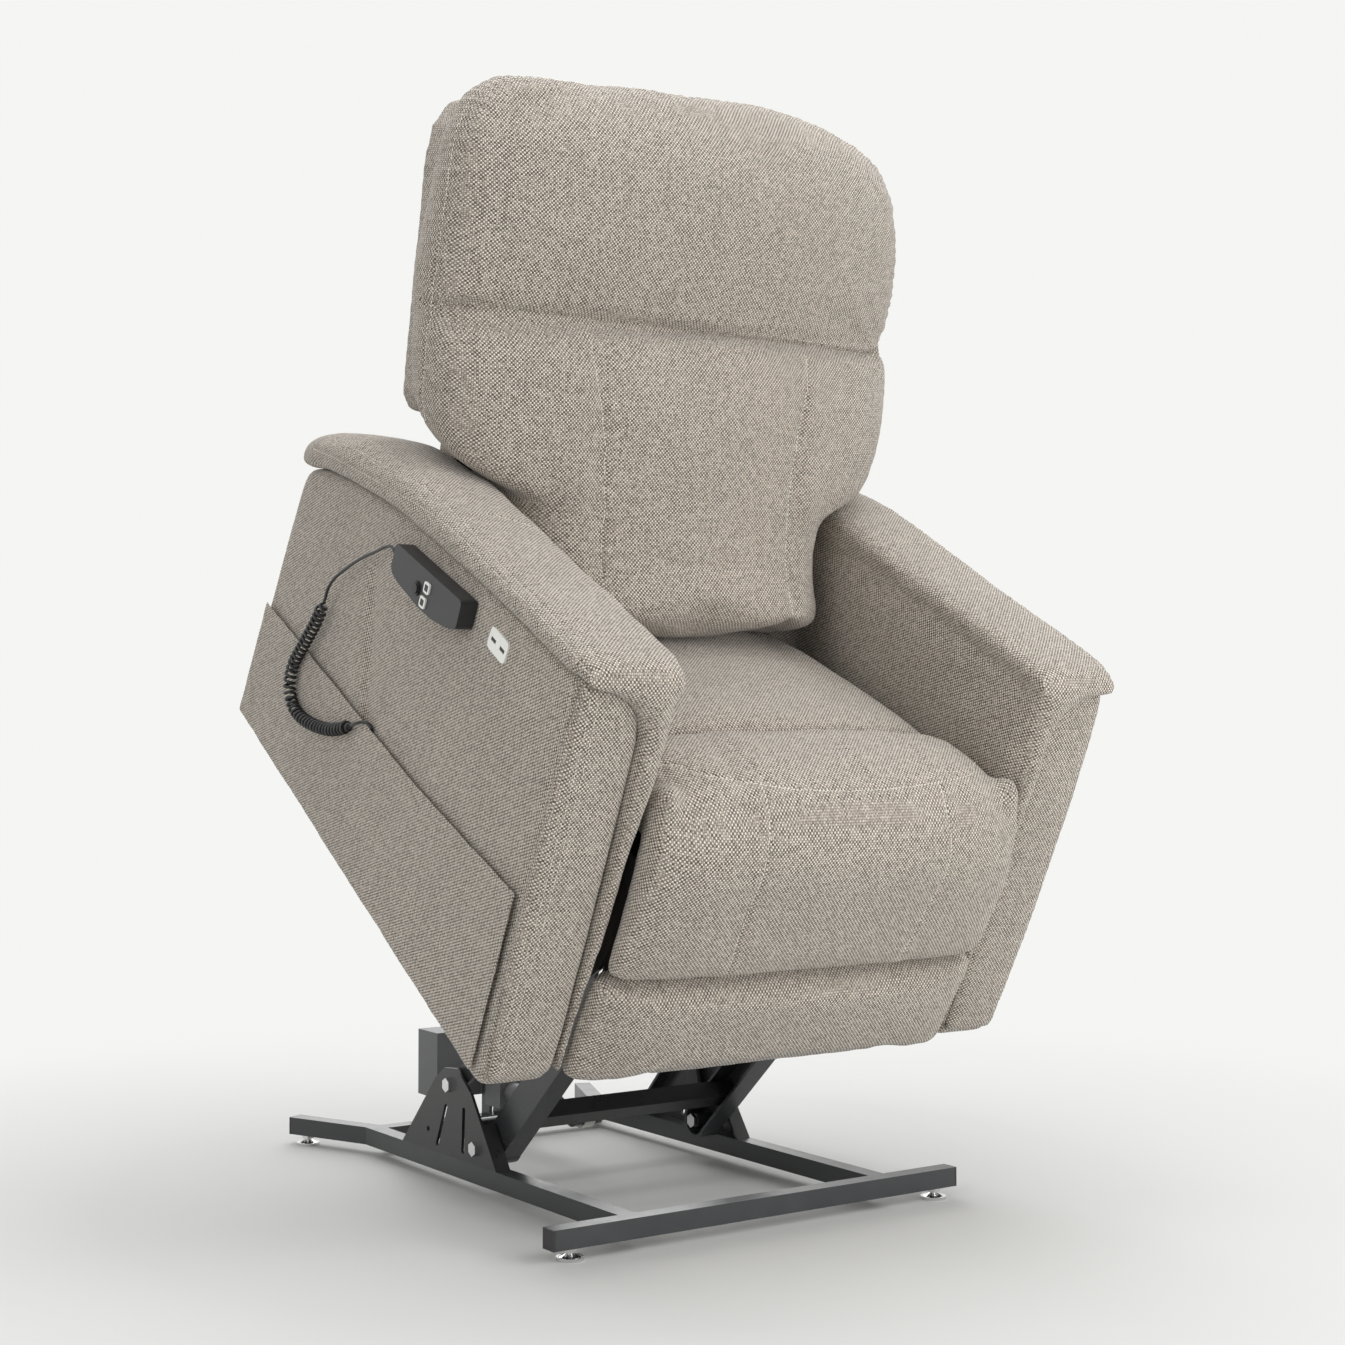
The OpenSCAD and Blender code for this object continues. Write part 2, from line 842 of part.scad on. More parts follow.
function seat_under(f, below) = at([f, seat_rear_h + (f - seat_rear) * tan(seat_slope)
    - below / cos(seat_slope)]);

module seat_rest(f0) {
    f1 = f0 + box_tube;
    low = box_low + box_tube;
    h = spring_w + box_tube;
    both_sides()
        plate(box_side, box_side_w)
            polygon([at([f0, low]), at([f1, low]), seat_under(f1, h), seat_under(f0, h)]);
    plate(-box_side - box_side_w, 2 * (box_side + box_side_w))
        polygon([seat_under(f0, h), seat_under(f1, h), seat_under(f1, spring_w), seat_under(f0, spring_w)]);
}

module seat_box() {
    color("black") {
        both_sides()
            translate([box_side, at([box_front, 0])[0], at([0, box_low])[1]])
                cube([box_side_w, box_front - box_rear, box_tube]);
        seat_rest(rest_rear);
        seat_rest(rest_front);
        cross_tube(box_side, box_rear, box_low, box_tube, box_tube);
        cross_tube(box_side, mid_cross, box_low, box_tube, box_tube);
        clevis(-motor_x, at(back_motor_pin), at([mid_cross + box_wall, back_motor_pin[1]]), lug_gap);
        clevis(motor_x, at(leg_motor_pin), at([mid_cross + box_tube - box_wall, leg_motor_pin[1]]), lug_gap);
    }
}

// Side plates of the recliner: they carry the back, the leg rest and the torque tube
recliner_outline = [[225, 222], [243, 214], [300, 205], [330, 150], [700, 150], [755, 190], [762, 262],
    [793, 266], [795, 286], [787, 300], [763, 300], [746, 290], [735, 240], [690, 222], [320, 214],
    [280, 258], [255, 264], [232, 262], [218, 245]];

module recliner_plate() {
    color("dimgray") {
        difference() {
            plate(plate_in, plate_out - plate_in)
                polygon([for (p = recliner_outline) at(p)]);
            pin_x(plate_in - cut, plate_out + cut, leg_tube_d + 2 * run_fit, at(leg_pivot));
        }
        for (f = [bracket_rear, bracket_front])
            translate([box_side + box_side_w, at([f + bracket_len, 0])[0], at([0, recliner_outline[3][1]])[1]])
                cube([arm_in - box_side - box_side_w, bracket_len, box_tube / 2]);
        for (p = [leg_hinge, back_hinge]) {
            pin_x(ear_in - gap, plate_in, pin_d, at(p));
            pin_x(ear_in - gap - head_h / 2, ear_in - gap, head_d, at(p));
        }
    }
}

module recliner_plates() {
    both_sides()
        recliner_plate();
}

module seat_spring() {
    pitch = (rest_front - rest_rear) / spring_turns;
    for (i = [0 : spring_turns - 1])
        translate([0, -(i + 0.5) * pitch]) {
            translate([-spring_amp, -spring_w / 2])
                square([2 * spring_amp, spring_w]);
            translate([i % 2 == 0 ? spring_amp : -spring_amp, -pitch / 2])
                mirror([i % 2, 0])
                    intersection() {
                        difference() {
                            circle(d = pitch + spring_w, $fn = 20);
                            circle(d = pitch - spring_w, $fn = 20);
                        }
                        translate([0, -pitch])
                            square([pitch, 2 * pitch]);
                    }
        }
}

module seat_springs() {
    color("gray")
        on_seat()
            for (i = [0 : spring_n - 1])
                translate([(i - (spring_n - 1) / 2) * 2.6 * spring_amp, 0, -spring_w])
                    linear_extrude(spring_w)
                        seat_spring();
}

module control_box() {
    color("black")
        difference() {
            translate([-control_w / 2, at([box_rear + box_tube + control_l, 0])[0], at([0, box_low])[1]])
                cube([control_w, control_l, control_h]);
            translate([-inlet_w / 2, at([box_rear + box_tube + control_l / 2, 0])[0], at([0, box_low])[1] - cut])
                cube([inlet_w, inlet_h, inlet_depth + cut]);
        }
}

// Cushions, with their rows in millimetres from their own lower rear edge
seat_rows = [[-392, 252, 66, 0, 0], [-387, 260, 92, 0, 0], [-372, 264, 106, 0, 0], [-320, 264, 113, 0, 0],
    [-240, 264, 114, 0, 0], [-140, 264, 113, 0, 0], [-50, 264, 112, 0, 0], [-14, 262, 104, 0, 0],
    [-2, 256, 80, 0, 0]];
// Length, width and thickness at which the seat rows are drawn
seat_drawn = [392, 528, 112];
seat_groove = 172;
// The front pad runs from the seat over the front edge and down the leg rest: forward, up, the
// angle it faces, its half width and its thickness
fold_rows = [[813, 165, 0, 277, 33], [813, 171, 0, 284, 45], [813, 190, 0, 286, 51], [813, 230, 0, 286, 52],
    [813, 280, 2, 284, 53], [806, 292, 12, 277, 65], [797, 299, 25, 270, 79], [789, 304, 40, 268, 89],
    [783, 306, 55, 267, 97], [778, 307, 70, 266, 105], [768, 307, 84, 266, 110], [735, 307, 92, 266, 111],
    [702, 307, 97, 265, 106], [688, 307, 99.6, 260, 92]];
fold_groove = 160;

module seat_cushion() {
    color("rosybrown")
        on_seat()
            skin(cushion([for (r = seat_rows) [r[0] * seat_len / seat_drawn[0], r[1] * seat_w / seat_drawn[1],
                r[2] * seat_t / seat_drawn[2], r[3], r[4]]], seat_groove, 4, 3.4));
}

module seat_fold() {
    color("rosybrown")
        skin([for (r = fold_rows) let (o = at([r[0], r[1]]))
            [for (q = cushion_ring(r[3], 0, r[4], fold_groove / r[3], 3, 4))
                [q[0], o[0] - q[1] * cos(r[2]), o[1] + q[1] * sin(r[2])]]]);
}

// Arms: panel, padded top and front
seam_foot = 20;
seam_top = 757;
panel_outline = [[4, 140], [0, 24], [7, 7], [24, 0], [400, 0], [side_len - 18, 0], [side_len - 4, 6],
    [side_len, seam_foot], [seam_top, side_h],
    [708, 516], [611, 510], [508, 502], [399, 490], [285, 477], [140, 445], [70, 423], [28, 405], [14, 392],
    [10, 370]];
panel_rows = [[0, 8], [7, 0], [80, 0], [87, 3], [90, 9]];

module side_panel() {
    color("rosybrown")
        skin([for (r = back_to_front(panel_rows))
            [for (p = inset([for (q = panel_outline) at(q)], -r[1])) [arm_in + r[0], p[0], p[1]]]]);
}

// The arm's front panel lies on the plane of the seam: share of its height, inner edge from the
// inner side of the arm, bulge of its outer edge, thickness
front_rows = [[0, 6, 0, 6], [0.02, 2, 1, 11], [0.12, 0.6, 4, 14], [0.3, 0.4, 8, 16], [0.5, 0.4, 10, 17],
    [0.7, 0.4, 10, 17], [0.86, 1, 8, 17], [0.94, 9, 5, 16], [0.98, 27, 2, 13], [0.998, 45, 0, 8]];
front_edge = 1;
front_foot = 6;
front_shares = [0, 0.03, 0.12, 0.3, 0.5, 0.7, 0.88, 0.97, 1];
front_heights = [0.12, 0.55, 0.85, 1, 1, 1, 0.85, 0.5, 0];
function seam_f(t) = mix(side_len, seam_top, t);
function seam_u(t) = mix(seam_foot, side_h, t);

function front_ring(r) = [for (q = concat([[arm_in + r[1] + front_edge, 0]], [for (i = [0 : len(front_shares) - 1])
    [mix(arm_in + r[1], side_half - front_edge + r[2], front_shares[i]), front_heights[i] * r[3]]],
    [[side_half - front_foot, 0]]))
    let (p = at([seam_f(r[0]) + gap / 4 + q[1], seam_u(r[0]) - front_slant * r[0] * q[1]])) [q[0], p[0], p[1]]];

module arm_front() {
    color("rosybrown")
        skin([for (r = front_rows) front_ring(r)]);
}

// Arm pad rows: forward, underside, top, half width, slant and skew
pad_rows = [[788, 518, 524, 62, 0, 0], [786, 517.8, 532, 67, 0, 0], [781, 518.1, 541, 71, 0, 0],
    [771, 518.9, 548, 73, 0, 0], [757, 520, 551, 73, 0, 0], [708, 516, 549, 73, 0, 0],
    [659, 513.1, 547, 73, 0, 0], [611, 510, 543.5, 73, 0, 0],
    [560, 506.1, 540, 73, 0, 0], [508, 502, 537, 73, 0, 0], [453.5, 496, 535, 73, 0, 0], [399, 490, 533, 73, 0, 0],
    [342, 483.5, 531, 73, 0, 0], [285, 477, 529, 73, 0, 0], [212.5, 461, 517, 73, 0, 0], [140, 445, 504, 73, 0, 0],
    [105, 434, 492, 72, 0, 0], [70, 423, 478, 71, 0, 0], [28, 405, 460, 69, 0, 0], [4, 396, 445, 66, 0, 0],
    [-10, 392, 424, 58, 0, 0]];
pad_in = 43;
pad_drawn = 44;

module arm_pad() {
    color("rosybrown")
        skin(padded_bar([for (r = pad_rows) [r[0], r[1], r[1] + (r[2] - r[1]) * pad_t / pad_drawn, r[3], r[4], r[5]]],
            (arm_in - pad_in + side_half + pad_overhang) / 2, 3, front_slant));
}

// The inner arm pad fills from the panel to the seat: forward, foot, top, depth below and above
inner_rows = [[837, 24, 34, 5, 6], [830, 21, 82, 9, 10], [820, 20, 155, 11, 12], [800, 20, 305, 12, 12],
    [791, 20, 372, 12, 20], [780, 20, 455, 12, 31], [772, 20, 516, 12, 38.4], [757, 20, 520, 12, 38.4],
    [750, 200, 519.4, 12, 38.4], [708, 200, 516, 12, 38.4], [611, 200, 510, 12, 38], [508, 200, 502, 12, 37.5],
    [399, 200, 490, 12, 37], [285, 200, 477, 12, 37], [140, 200, 445, 12, 36], [124, 206, 438, 8, 28],
    [118, 212, 432, 5, 16]];
inner_step = 296;
inner_step_room = 8;
inner_foot = 4;

function inner_ring(r) = let (top = r[2], low = r[1], step = top > inner_step + inner_step_room ? inner_step : mix(low, top, 0.6))
    [for (q = [[0, low], [-r[3] / 2, low], [-r[3], min(low + inner_foot, mix(low, step, 0.3))], [-r[3], mix(low, step, 0.9)],
        [-mix(r[3], r[4], 0.6), step], [-r[4], mix(step, top, 0.1)], [-r[4], mix(step, top, 0.5)],
        [-r[4], mix(step, top, 0.86)], [-r[4] * 0.8, mix(step, top, 0.97)], [-r[4] * 0.45, top], [0, top]])
        let (p = at([r[0], q[1]])) [arm_in + q[0], p[0], p[1]]];

module inner_pad() {
    color("rosybrown")
        skin([for (r = inner_rows) inner_ring(r)]);
}

// The pocket's sheet stands off the panel on a seam that closes its foot and ends
pocket_rise = 60;
pocket_dip = 30;
mouth_rise = 120;
pocket_outline = [[14, pocket_h], [14, 14], [798, 14], [804, 20], [776, pocket_h + pocket_rise],
    [510, pocket_h + pocket_dip]];
pocket_space = [[17, pocket_h + pocket_rise], [17, 17], [796, 17], [800, 21], [765, pocket_h + mouth_rise],
    [300, pocket_h + mouth_rise]];

module side_pocket() {
    color("rosybrown")
        plate(side_half + pocket_gap, pocket_t)
            polygon([for (p = pocket_outline) at(p)]);
}

module pocket_seam() {
    color("dimgray")
        difference() {
            plate(side_half, pocket_gap)
                polygon([for (p = pocket_outline) at(p)]);
            plate(side_half - cut, pocket_gap + cut * 2)
                polygon([for (p = pocket_space) at(p)]);
        }
}

front_slant = 0.08;

module charging_socket() {
    color("white")
        difference() {
            plate(side_half, socket_t)
                polygon(soften([for (p = [[-1, -1], [1, -1], [1, 1], [-1, 1]])
                    at(socket_at + [p[0] * socket_w / 2, p[1] * socket_h / 2])], socket_h / 4));
            for (side = [-1, 1])
                plate(side_half + socket_t / 3, socket_t)
                    translate(at(socket_at + [side * socket_w / 4, 0]) - [port_w, port_h] / 2)
                        square([port_w, port_h]);
        }
}

// Handset, in lengths along it and up from its middle line
function on_hand(a, b) = at(hand_at + turn([a, b], hand_turn));
function hand_outline() = [for (p = scaled(hand_shares, handset_len, hand_w)) on_hand(p[0], p[1])];
function hand_low(share) = hand_w * lookup(share, [for (i = [0 : 5]) hand_shares[i]]);

module handset_holder() {
    color("black") {
        plate(side_half, holder_t)
            polygon(inset(hand_outline(), -holder_in));
        for (a = holder_shares)
            plate(side_half, holder_lip)
                polygon([for (p = [[0, -gap], [holder_w, -gap], [holder_w, -gap - holder_t], [0, -gap - holder_t]])
                    on_hand(a * handset_len + p[0], p[1] + hand_low(a))]);
    }
}

module handset() {
    color("darkslategray")
        difference() {
            plate(side_half + holder_t, handset_t)
                polygon(soften(hand_outline(), hand_r));
            pin_x(hand_out - key_depth, hand_out + cut, knob_d + 2 * key_gap, on_hand(knob_at[0], knob_at[1]));
            for (a = key_at)
                plate(hand_out - key_depth, key_depth + cut)
                    key_shape(a, key_w + 2 * key_gap);
        }
}

module key_shape(a, w) {
    polygon(soften([for (p = [[-w, -w], [w, -w], [w, w], [-w, w]] / 2) on_hand(a[0] + p[0], a[1] + p[1])], key_w / 4));
}

module lift_knob() {
    color("black") {
        pin_x(hand_out - key_depth + key_travel, hand_out + key_out, knob_d, on_hand(knob_at[0], knob_at[1]));
        pin_x(hand_out + key_out, hand_out + 2 * key_out, knob_d - 2 * key_out, on_hand(knob_at[0], knob_at[1]));
    }
}

module key(i) {
    color("white")
        plate(hand_out - key_depth + key_travel, key_depth - key_travel + key_out)
            key_shape(key_at[i], key_w);
}

module strain_relief() {
    p = on_hand(0, 0);
    color("black")
        translate([side_half + holder_t + handset_t / 2, p[0], p[1]])
            rotate([-90 - hand_turn, 0, 0]) {
                cylinder(d1 = relief_d, d2 = cord_d + gap, h = relief_len);
                for (i = [0 : relief_ribs - 1])
                    translate([0, 0, (i + 0.2) * relief_len / relief_ribs * 0.9])
                        cylinder(d = mix(relief_d, cord_d + 2 * gap, i / relief_ribs) + 2 * gap,
                            h = relief_len / relief_ribs * 0.45);
            }
}

// Smooth route through the points: dense steps with their lengths, looked up by distance
route_steps = 10;
function bend(a, b, c, d, t) = 0.5 * (2 * b + (c - a) * t + (2 * a - 5 * b + 4 * c - d) * t * t
    + (3 * b - a - 3 * c + d) * t * t * t);
function dense(ps) = let (n = len(ps)) concat([for (i = [0 : n - 2], k = [0 : route_steps - 1])
    bend(ps[max(i - 1, 0)], ps[i], ps[i + 1], ps[min(i + 2, n - 1)], k / route_steps)], [ps[n - 1]]);
function lengths(ps, i = 0, run = 0) = i == len(ps) - 1 ? [run]
    : concat([run], lengths(ps, i + 1, run + norm(ps[i + 1] - ps[i])));
function in_place(p) = [p[2], at([p[0], p[1]])[0], at([p[0], p[1]])[1]];
function tables(ps, ls) = [for (k = [0 : 2]) [for (i = [0 : len(ps) - 1]) [ls[i], ps[i][k]]]];
function look(tb, d) = [for (k = [0 : 2]) lookup(d, tb[k])];
function heading(tb, d, total) = unit(look(tb, min(d + 1, total)) - look(tb, max(d - 1, 0)));
function side_of(h) = unit([1, 0, 0] - h[0] * h);
function ring_at(c, h, side, d, n) = let (a = unit(side - (side * h) * h), b = cross(h, a))
    [for (i = [0 : n - 1]) c + d / 2 * (a * cos(360 * i / n) + b * sin(360 * i / n))];

stretch_path = dense([for (p = stretch_pts) in_place(p)]);
stretch_lengths = lengths(stretch_path);
stretch_total = stretch_lengths[len(stretch_lengths) - 1];
stretch_tb = tables(stretch_path, stretch_lengths);
coil_path = dense([for (p = coil_pts) in_place(p)]);
coil_lengths = lengths(coil_path);
coil_total = coil_lengths[len(coil_lengths) - 1];
coil_tb = tables(coil_path, coil_lengths);
coil_from = coil_first_share * coil_total;
coil_to = coil_last_share * coil_total;
coil_ease = coil_ease_share * coil_total;
function smooth(t) = let (c = min(max(t, 0), 1)) c * c * (3 - 2 * c);
function curl_r(d) = (coil_d - cord_d) / 2 * smooth((d - coil_from) / coil_ease) * smooth((coil_to - d) / coil_ease);
function curl_turn(d) = 360 * coil_turns * min(max((d - coil_from) / (coil_to - coil_from), 0), 1);
function curl_side(d) = let (h = heading(coil_tb, d, coil_total), a = side_of(h))
    a * cos(curl_turn(d)) + cross(h, a) * sin(curl_turn(d));
coil_marks = concat([for (i = [0 : 1]) i * coil_from / 2],
    [for (i = [0 : coil_turns * coil_steps]) mix(coil_from, coil_to, i / coil_turns / coil_steps)],
    [for (i = [1 : 12]) mix(coil_to, coil_total, i / 12)]);
coil_line = [for (d = coil_marks) look(coil_tb, d) + curl_r(d) * curl_side(d)];
coil_n = len(coil_line);
coil_gap = min([for (i = [0 : coil_n - coil_steps], j = [i + coil_steps - 2 : min(i + 3 * coil_steps, coil_n - 1)])
    norm(coil_line[i] - coil_line[j])]) - cord_d;
echo(coil_gap = coil_gap, coil_axis = coil_total, stretch = stretch_total);

module cord_stretch() {
    n = ceil(stretch_total / cord_d / 2.2);
    color("black")
        skin([for (i = [0 : n])
            let (d = i * stretch_total / n, h = heading(stretch_tb, d, stretch_total))
            ring_at(look(stretch_tb, d), h, side_of(h), cord_d, stretch_sides)]);
}

module cord_coil() {
    color("black")
        skin([for (i = [0 : coil_n - 1])
            let (h = unit(coil_line[min(i + 1, coil_n - 1)] - coil_line[max(i - 1, 0)]))
            ring_at(coil_line[i], h, curl_side(coil_marks[i]), cord_d, coil_sides)]);
}

module cord_sleeve() {
    p = coil_pts[len(coil_pts) - 1];
    q = at([p[0] + sleeve_w / 2, p[1] - sleeve_len]);
    color("black")
        translate([side_half, q[0], q[1]])
            cube([p[2] + sleeve_w / 2 - side_half, sleeve_w, sleeve_len]);
}

// Leg rest: it hinges under the fold, and the torque tube turns it through two equal cranks
module leg_board() {
    top = leg_pad_low + leg_h;
    color("black") {
        difference() {
            union() {
                translate([-board_half, at([board_f + board_t, 0])[0], at([0, leg_pad_low - foot_gap])[1]])
                    cube([2 * board_half, board_t, top - leg_pad_low + foot_gap]);
                both_sides()
                    plate(ear_in, ear_t) {
                        bar2d(at(leg_hinge), at(leg_drop), ear_w);
                        translate([at([board_f, 0])[0], at(leg_drop)[1]])
                            square([ear_w / 2, top - leg_drop[1]]);
                    }
            }
            both_sides()
                pin_x(ear_in - cut, ear_in + ear_t + cut, pin_d + 2 * run_fit, at(leg_hinge));
        }
        both_sides()
            pin_x(drive_in, ear_in, pin_d, at(leg_drop));
    }
}

module foot_board() {
    color("black")
        translate([-board_half, at([board_f + board_t, 0])[0], at([0, foot_pad_low])[1]])
            cube([2 * board_half, board_t, leg_pad_low - foot_gap - foot_pad_low]);
}

function pad_shape(w, h, t) = [for (r = [[0, 0.97, 0.62], [0.03, 0.99, 0.85], [0.1, 1, 0.95], [0.3, 1, 0.99],
    [0.6, 1, 1], [0.88, 1, 0.96], [0.97, 0.99, 0.86], [1, 0.97, 0.62]]) [r[0] * h, r[1] * w / 2, r[2] * t, 0, 0]];

module on_board(u) {
    p = at([board_f + board_t, u]);
    translate([0, p[0], p[1]])
        rotate([90, 0, 0])
            children();
}

module leg_pad() {
    color("rosybrown")
        on_board(leg_pad_low)
            skin(cushion(pad_shape(leg_w, leg_h, leg_t / 5), pad_groove, 0, 4.5));
}

module foot_pad() {
    color("rosybrown")
        on_board(foot_pad_low)
            skin(cushion(pad_shape(leg_w + 2 * foot_more, foot_h, leg_t), pad_groove, 0, 4.5));
}

module leg_tube() {
    color("dimgray") {
        difference() {
            pin_x(-plate_out, plate_out, leg_tube_d, at(leg_pivot));
            pin_x(-plate_out - cut, plate_out + cut, leg_tube_d - 2 * tube_wall, at(leg_pivot));
        }
        both_sides() {
            plate(crank_in, ear_t)
                difference() {
                    bar2d(at(leg_pivot), at(link_drop), lug_w);
                    translate(at(leg_pivot))
                        circle(d = leg_tube_d - tube_wall / 2);
                }
            pin_x(crank_in, drive_in + ear_t, pin_d, at(link_drop));
        }
        difference() {
            clevis(motor_x, at(leg_rod_pin), at(leg_pivot), rod_d);
            pin_x(0, 2 * motor_x, leg_tube_d - tube_wall / 2, at(leg_pivot));
        }
    }
}

module leg_links() {
    color("gray")
        both_sides()
            plate(drive_in, ear_t)
                difference() {
                    bar2d(at(link_drop), at(leg_drop), drive_w);
                    translate(at(link_drop))
                        circle(d = pin_d + 2 * run_fit);
                    translate(at(leg_drop))
                        circle(d = pin_d + 2 * gap);
                }
}

module leg_motor() {
    actuator(motor_x, at(leg_motor_pin), at(leg_rod_pin), leg_sleeve, 1);
}

module leg_rod() {
    rod(motor_x, at(leg_motor_pin), at(leg_rod_pin), leg_rod_start, pin_d + 2 * rod_play, pin_d + 2 * slot_play);
}

module back_motor() {
    actuator(-motor_x, at(back_motor_pin), at(back_rod_pin), back_sleeve, -1);
}

module back_rod() {
    rod(-motor_x, at(back_motor_pin), at(back_rod_pin), back_rod_start, pin_d + 2 * rod_play, pin_d + 2 * rod_play);
}

// Back, in its own frame of across, up and out
module on_back() {
    p = at(back_hinge);
    translate([0, p[0], p[1]])
        rotate([90 - back_lean, 0, 0])
            children();
}

shell_half = 258;
shell_outline = [[-shell_half, shell_low], [shell_half, shell_low], [shell_half, 306], [270, 317], [310, 326],
    [322, 346], [322, 640], [316, 690], [296, 722], [256, 736], [-256, 736], [-296, 722], [-316, 690],
    [-322, 640], [-322, 346], [-310, 326], [-270, 317], [-shell_half, 306]];

module outer_back() {
    color("rosybrown")
        on_back()
            translate([0, 0, -shell_d])
                difference() {
                    linear_extrude(shell_d)
                        polygon(shell_outline);
                    translate([0, 0, shell_wall])
                        linear_extrude(shell_d)
                            polygon(inset(shell_outline, shell_wall));
                    translate([-frame_in - frame_tube - gap, shell_low - cut, shell_d - frame_back - gap])
                        cube([2 * (frame_in + frame_tube + gap), shell_wall + 2 * cut, shell_d]);
                }
}

frame_crosses = [24, 300, 560];

module back_frame() {
    color("black") {
        on_back() {
            both_sides() {
                translate([frame_in, -ear_w / 2, -frame_back])
                    cube([frame_tube, frame_tall, frame_tube]);
                difference() {
                    union() {
                        rotate([0, 90, 0])
                            translate([0, 0, frame_in + frame_tube])
                                cylinder(d = ear_w, h = ear_in + ear_t - frame_in - frame_tube);
                        translate([frame_in + frame_tube, -ear_w / 2, -frame_back])
                            cube([ear_in + ear_t - frame_in - frame_tube, 2 * ear_w, frame_back]);
                    }
                    rotate([0, 90, 0])
                        translate([0, 0, frame_in])
                            cylinder(d = pin_d + 2 * run_fit, h = ear_in);
                    rotate([0, 90, 0])
                        translate([0, 0, frame_in])
                            cylinder(d = head_d + 2 * gap, h = ear_in - frame_in);
                }
            }
            for (v = frame_crosses)
                translate([-frame_in, v, -frame_back])
                    cube([2 * frame_in, frame_tube, frame_tube]);
        }
        clevis(-motor_x, at(back_rod_pin), on_back_at(frame_crosses[0] + frame_tube / 2, -frame_back + frame_tube / 2),
            rod_d);
    }
}

lumbar_rows = [[82, 240, 196, 0, 0, 0], [90, 252, 240, 0, 0, 0], [105, 256, 257, 0, 0, 0],
    [140, 256, 238, 0, 0, 0], [190, 256, 224, -0.05, 0, 0], [235, 256, 219, -0.15, 0, 0],
    [285, 257, 216, -0.32, 0, 0.004], [316, 266, 214, -0.4, 0, 0.008], [327, 300, 213, -0.42, 0, 0.012],
    [341, 330, 211, -0.42, 0, 0.016], [357, 348, 208, -0.38, 0, 0.02], [385, 360, 203, -0.3, 0, 0.028],
    [420, 364, 199, -0.2, 0, 0.036], [452, 366, 186, -0.1, 0, 0.044], [473, 365, 166, -0.04, 0, 0.048],
    [481, 359, 138, 0, 0, 0.048]];
settled = 0.048;
// Crease height, lower half width, headrest height and half width at which the rows are drawn
back_drawn = [482, 256, 313, 380];
headrest_rows = [[482.5, 370, 138, 0, 0, settled], [490, 376, 152, 0, 0, settled], [510, 380, 162, 0, 0, settled],
    [550, 381, 169, 0, 0, settled], [600, 376, 173, 0, 0, settled], [640, 369, 171, 0, 0, settled],
    [680, 357, 164, 0, 0, settled], [710, 340, 154, 0, 0, settled], [735, 314, 141, 0, 2, settled],
    [757, 280, 124, 0, 8, settled], [775, 236, 108, 0, 16, settled], [787, 186, 92, 0, 28, settled],
    [794, 120, 76, 0, 42, settled]];
lumbar_groove = 157;

module lumbar_cushion() {
    color("rosybrown")
        on_back()
            skin(cushion([for (r = lumbar_rows) [r[0] * crease_h / back_drawn[0], r[1] * back_low_half / back_drawn[1], r[2], r[3], r[4],
                r[5]]], lumbar_groove, 9, 3));
}

module headrest_cushion() {
    color("rosybrown")
        on_back()
            skin(cushion([for (r = headrest_rows) [crease_h + gap + (r[0] - headrest_rows[0][0]) * (back_h - crease_h) / back_drawn[2],
                r[1] * back_half / back_drawn[3], r[2], r[3], r[4], r[5]]], lumbar_groove, 0, 3));
}

right_side() rail();  // rail_right
rail();  // rail_left
front_bar();
rear_bar();
end_caps();
levelling_feet();
right_side() tower();  // tower_right
tower();  // tower_left
tower_bolts();
right_side() front_arm();  // front_arm_right
front_arm();  // front_arm_left
lift_cross_tube();
right_side() rear_link();  // rear_link_right
rear_link();  // rear_link_left
torque_tube();
lift_motor();
lift_rod();
lifted() right_side() carriage();  // carriage_right
lifted() carriage();  // carriage_left
lifted() carriage_pins();
lifted() seat_box();
lifted() recliner_plates();
lifted() seat_springs();
lifted() seat_cushion();
lifted() seat_fold();
lifted() control_box();
lifted() right_side() side_panel();  // side_panel_right
lifted() side_panel();  // side_panel_left
lifted() right_side() arm_pad();  // arm_pad_right
lifted() arm_pad();  // arm_pad_left
lifted() right_side() inner_pad();  // inner_pad_right
lifted() inner_pad();  // inner_pad_left
lifted() right_side() arm_front();  // arm_front_right
lifted() arm_front();  // arm_front_left
lifted() right_side() side_pocket();
lifted() right_side() pocket_seam();
lifted() right_side() charging_socket();
lifted() right_side() handset_holder();
lifted() right_side() handset();
lifted() right_side() lift_knob();
lifted() right_side() key(0);  // key_up
lifted() right_side() key(1);  // key_down
lifted() right_side() strain_relief();
lifted() right_side() cord_stretch();
lifted() right_side() cord_coil();
lifted() right_side() cord_sleeve();
lifted() leg_board();
lifted() foot_board();
lifted() leg_pad();
lifted() foot_pad();
lifted() leg_tube();
lifted() leg_links();
lifted() leg_motor();
lifted() leg_rod();
lifted() back_frame();
lifted() outer_back();
lifted() lumbar_cushion();
lifted() headrest_cushion();
lifted() back_motor();
lifted() back_rod();
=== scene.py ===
import bpy
import bmesh
import math
from mathutils import Matrix, Vector, noise
from mathutils.bvhtree import BVHTree
from mathutils.kdtree import KDTree


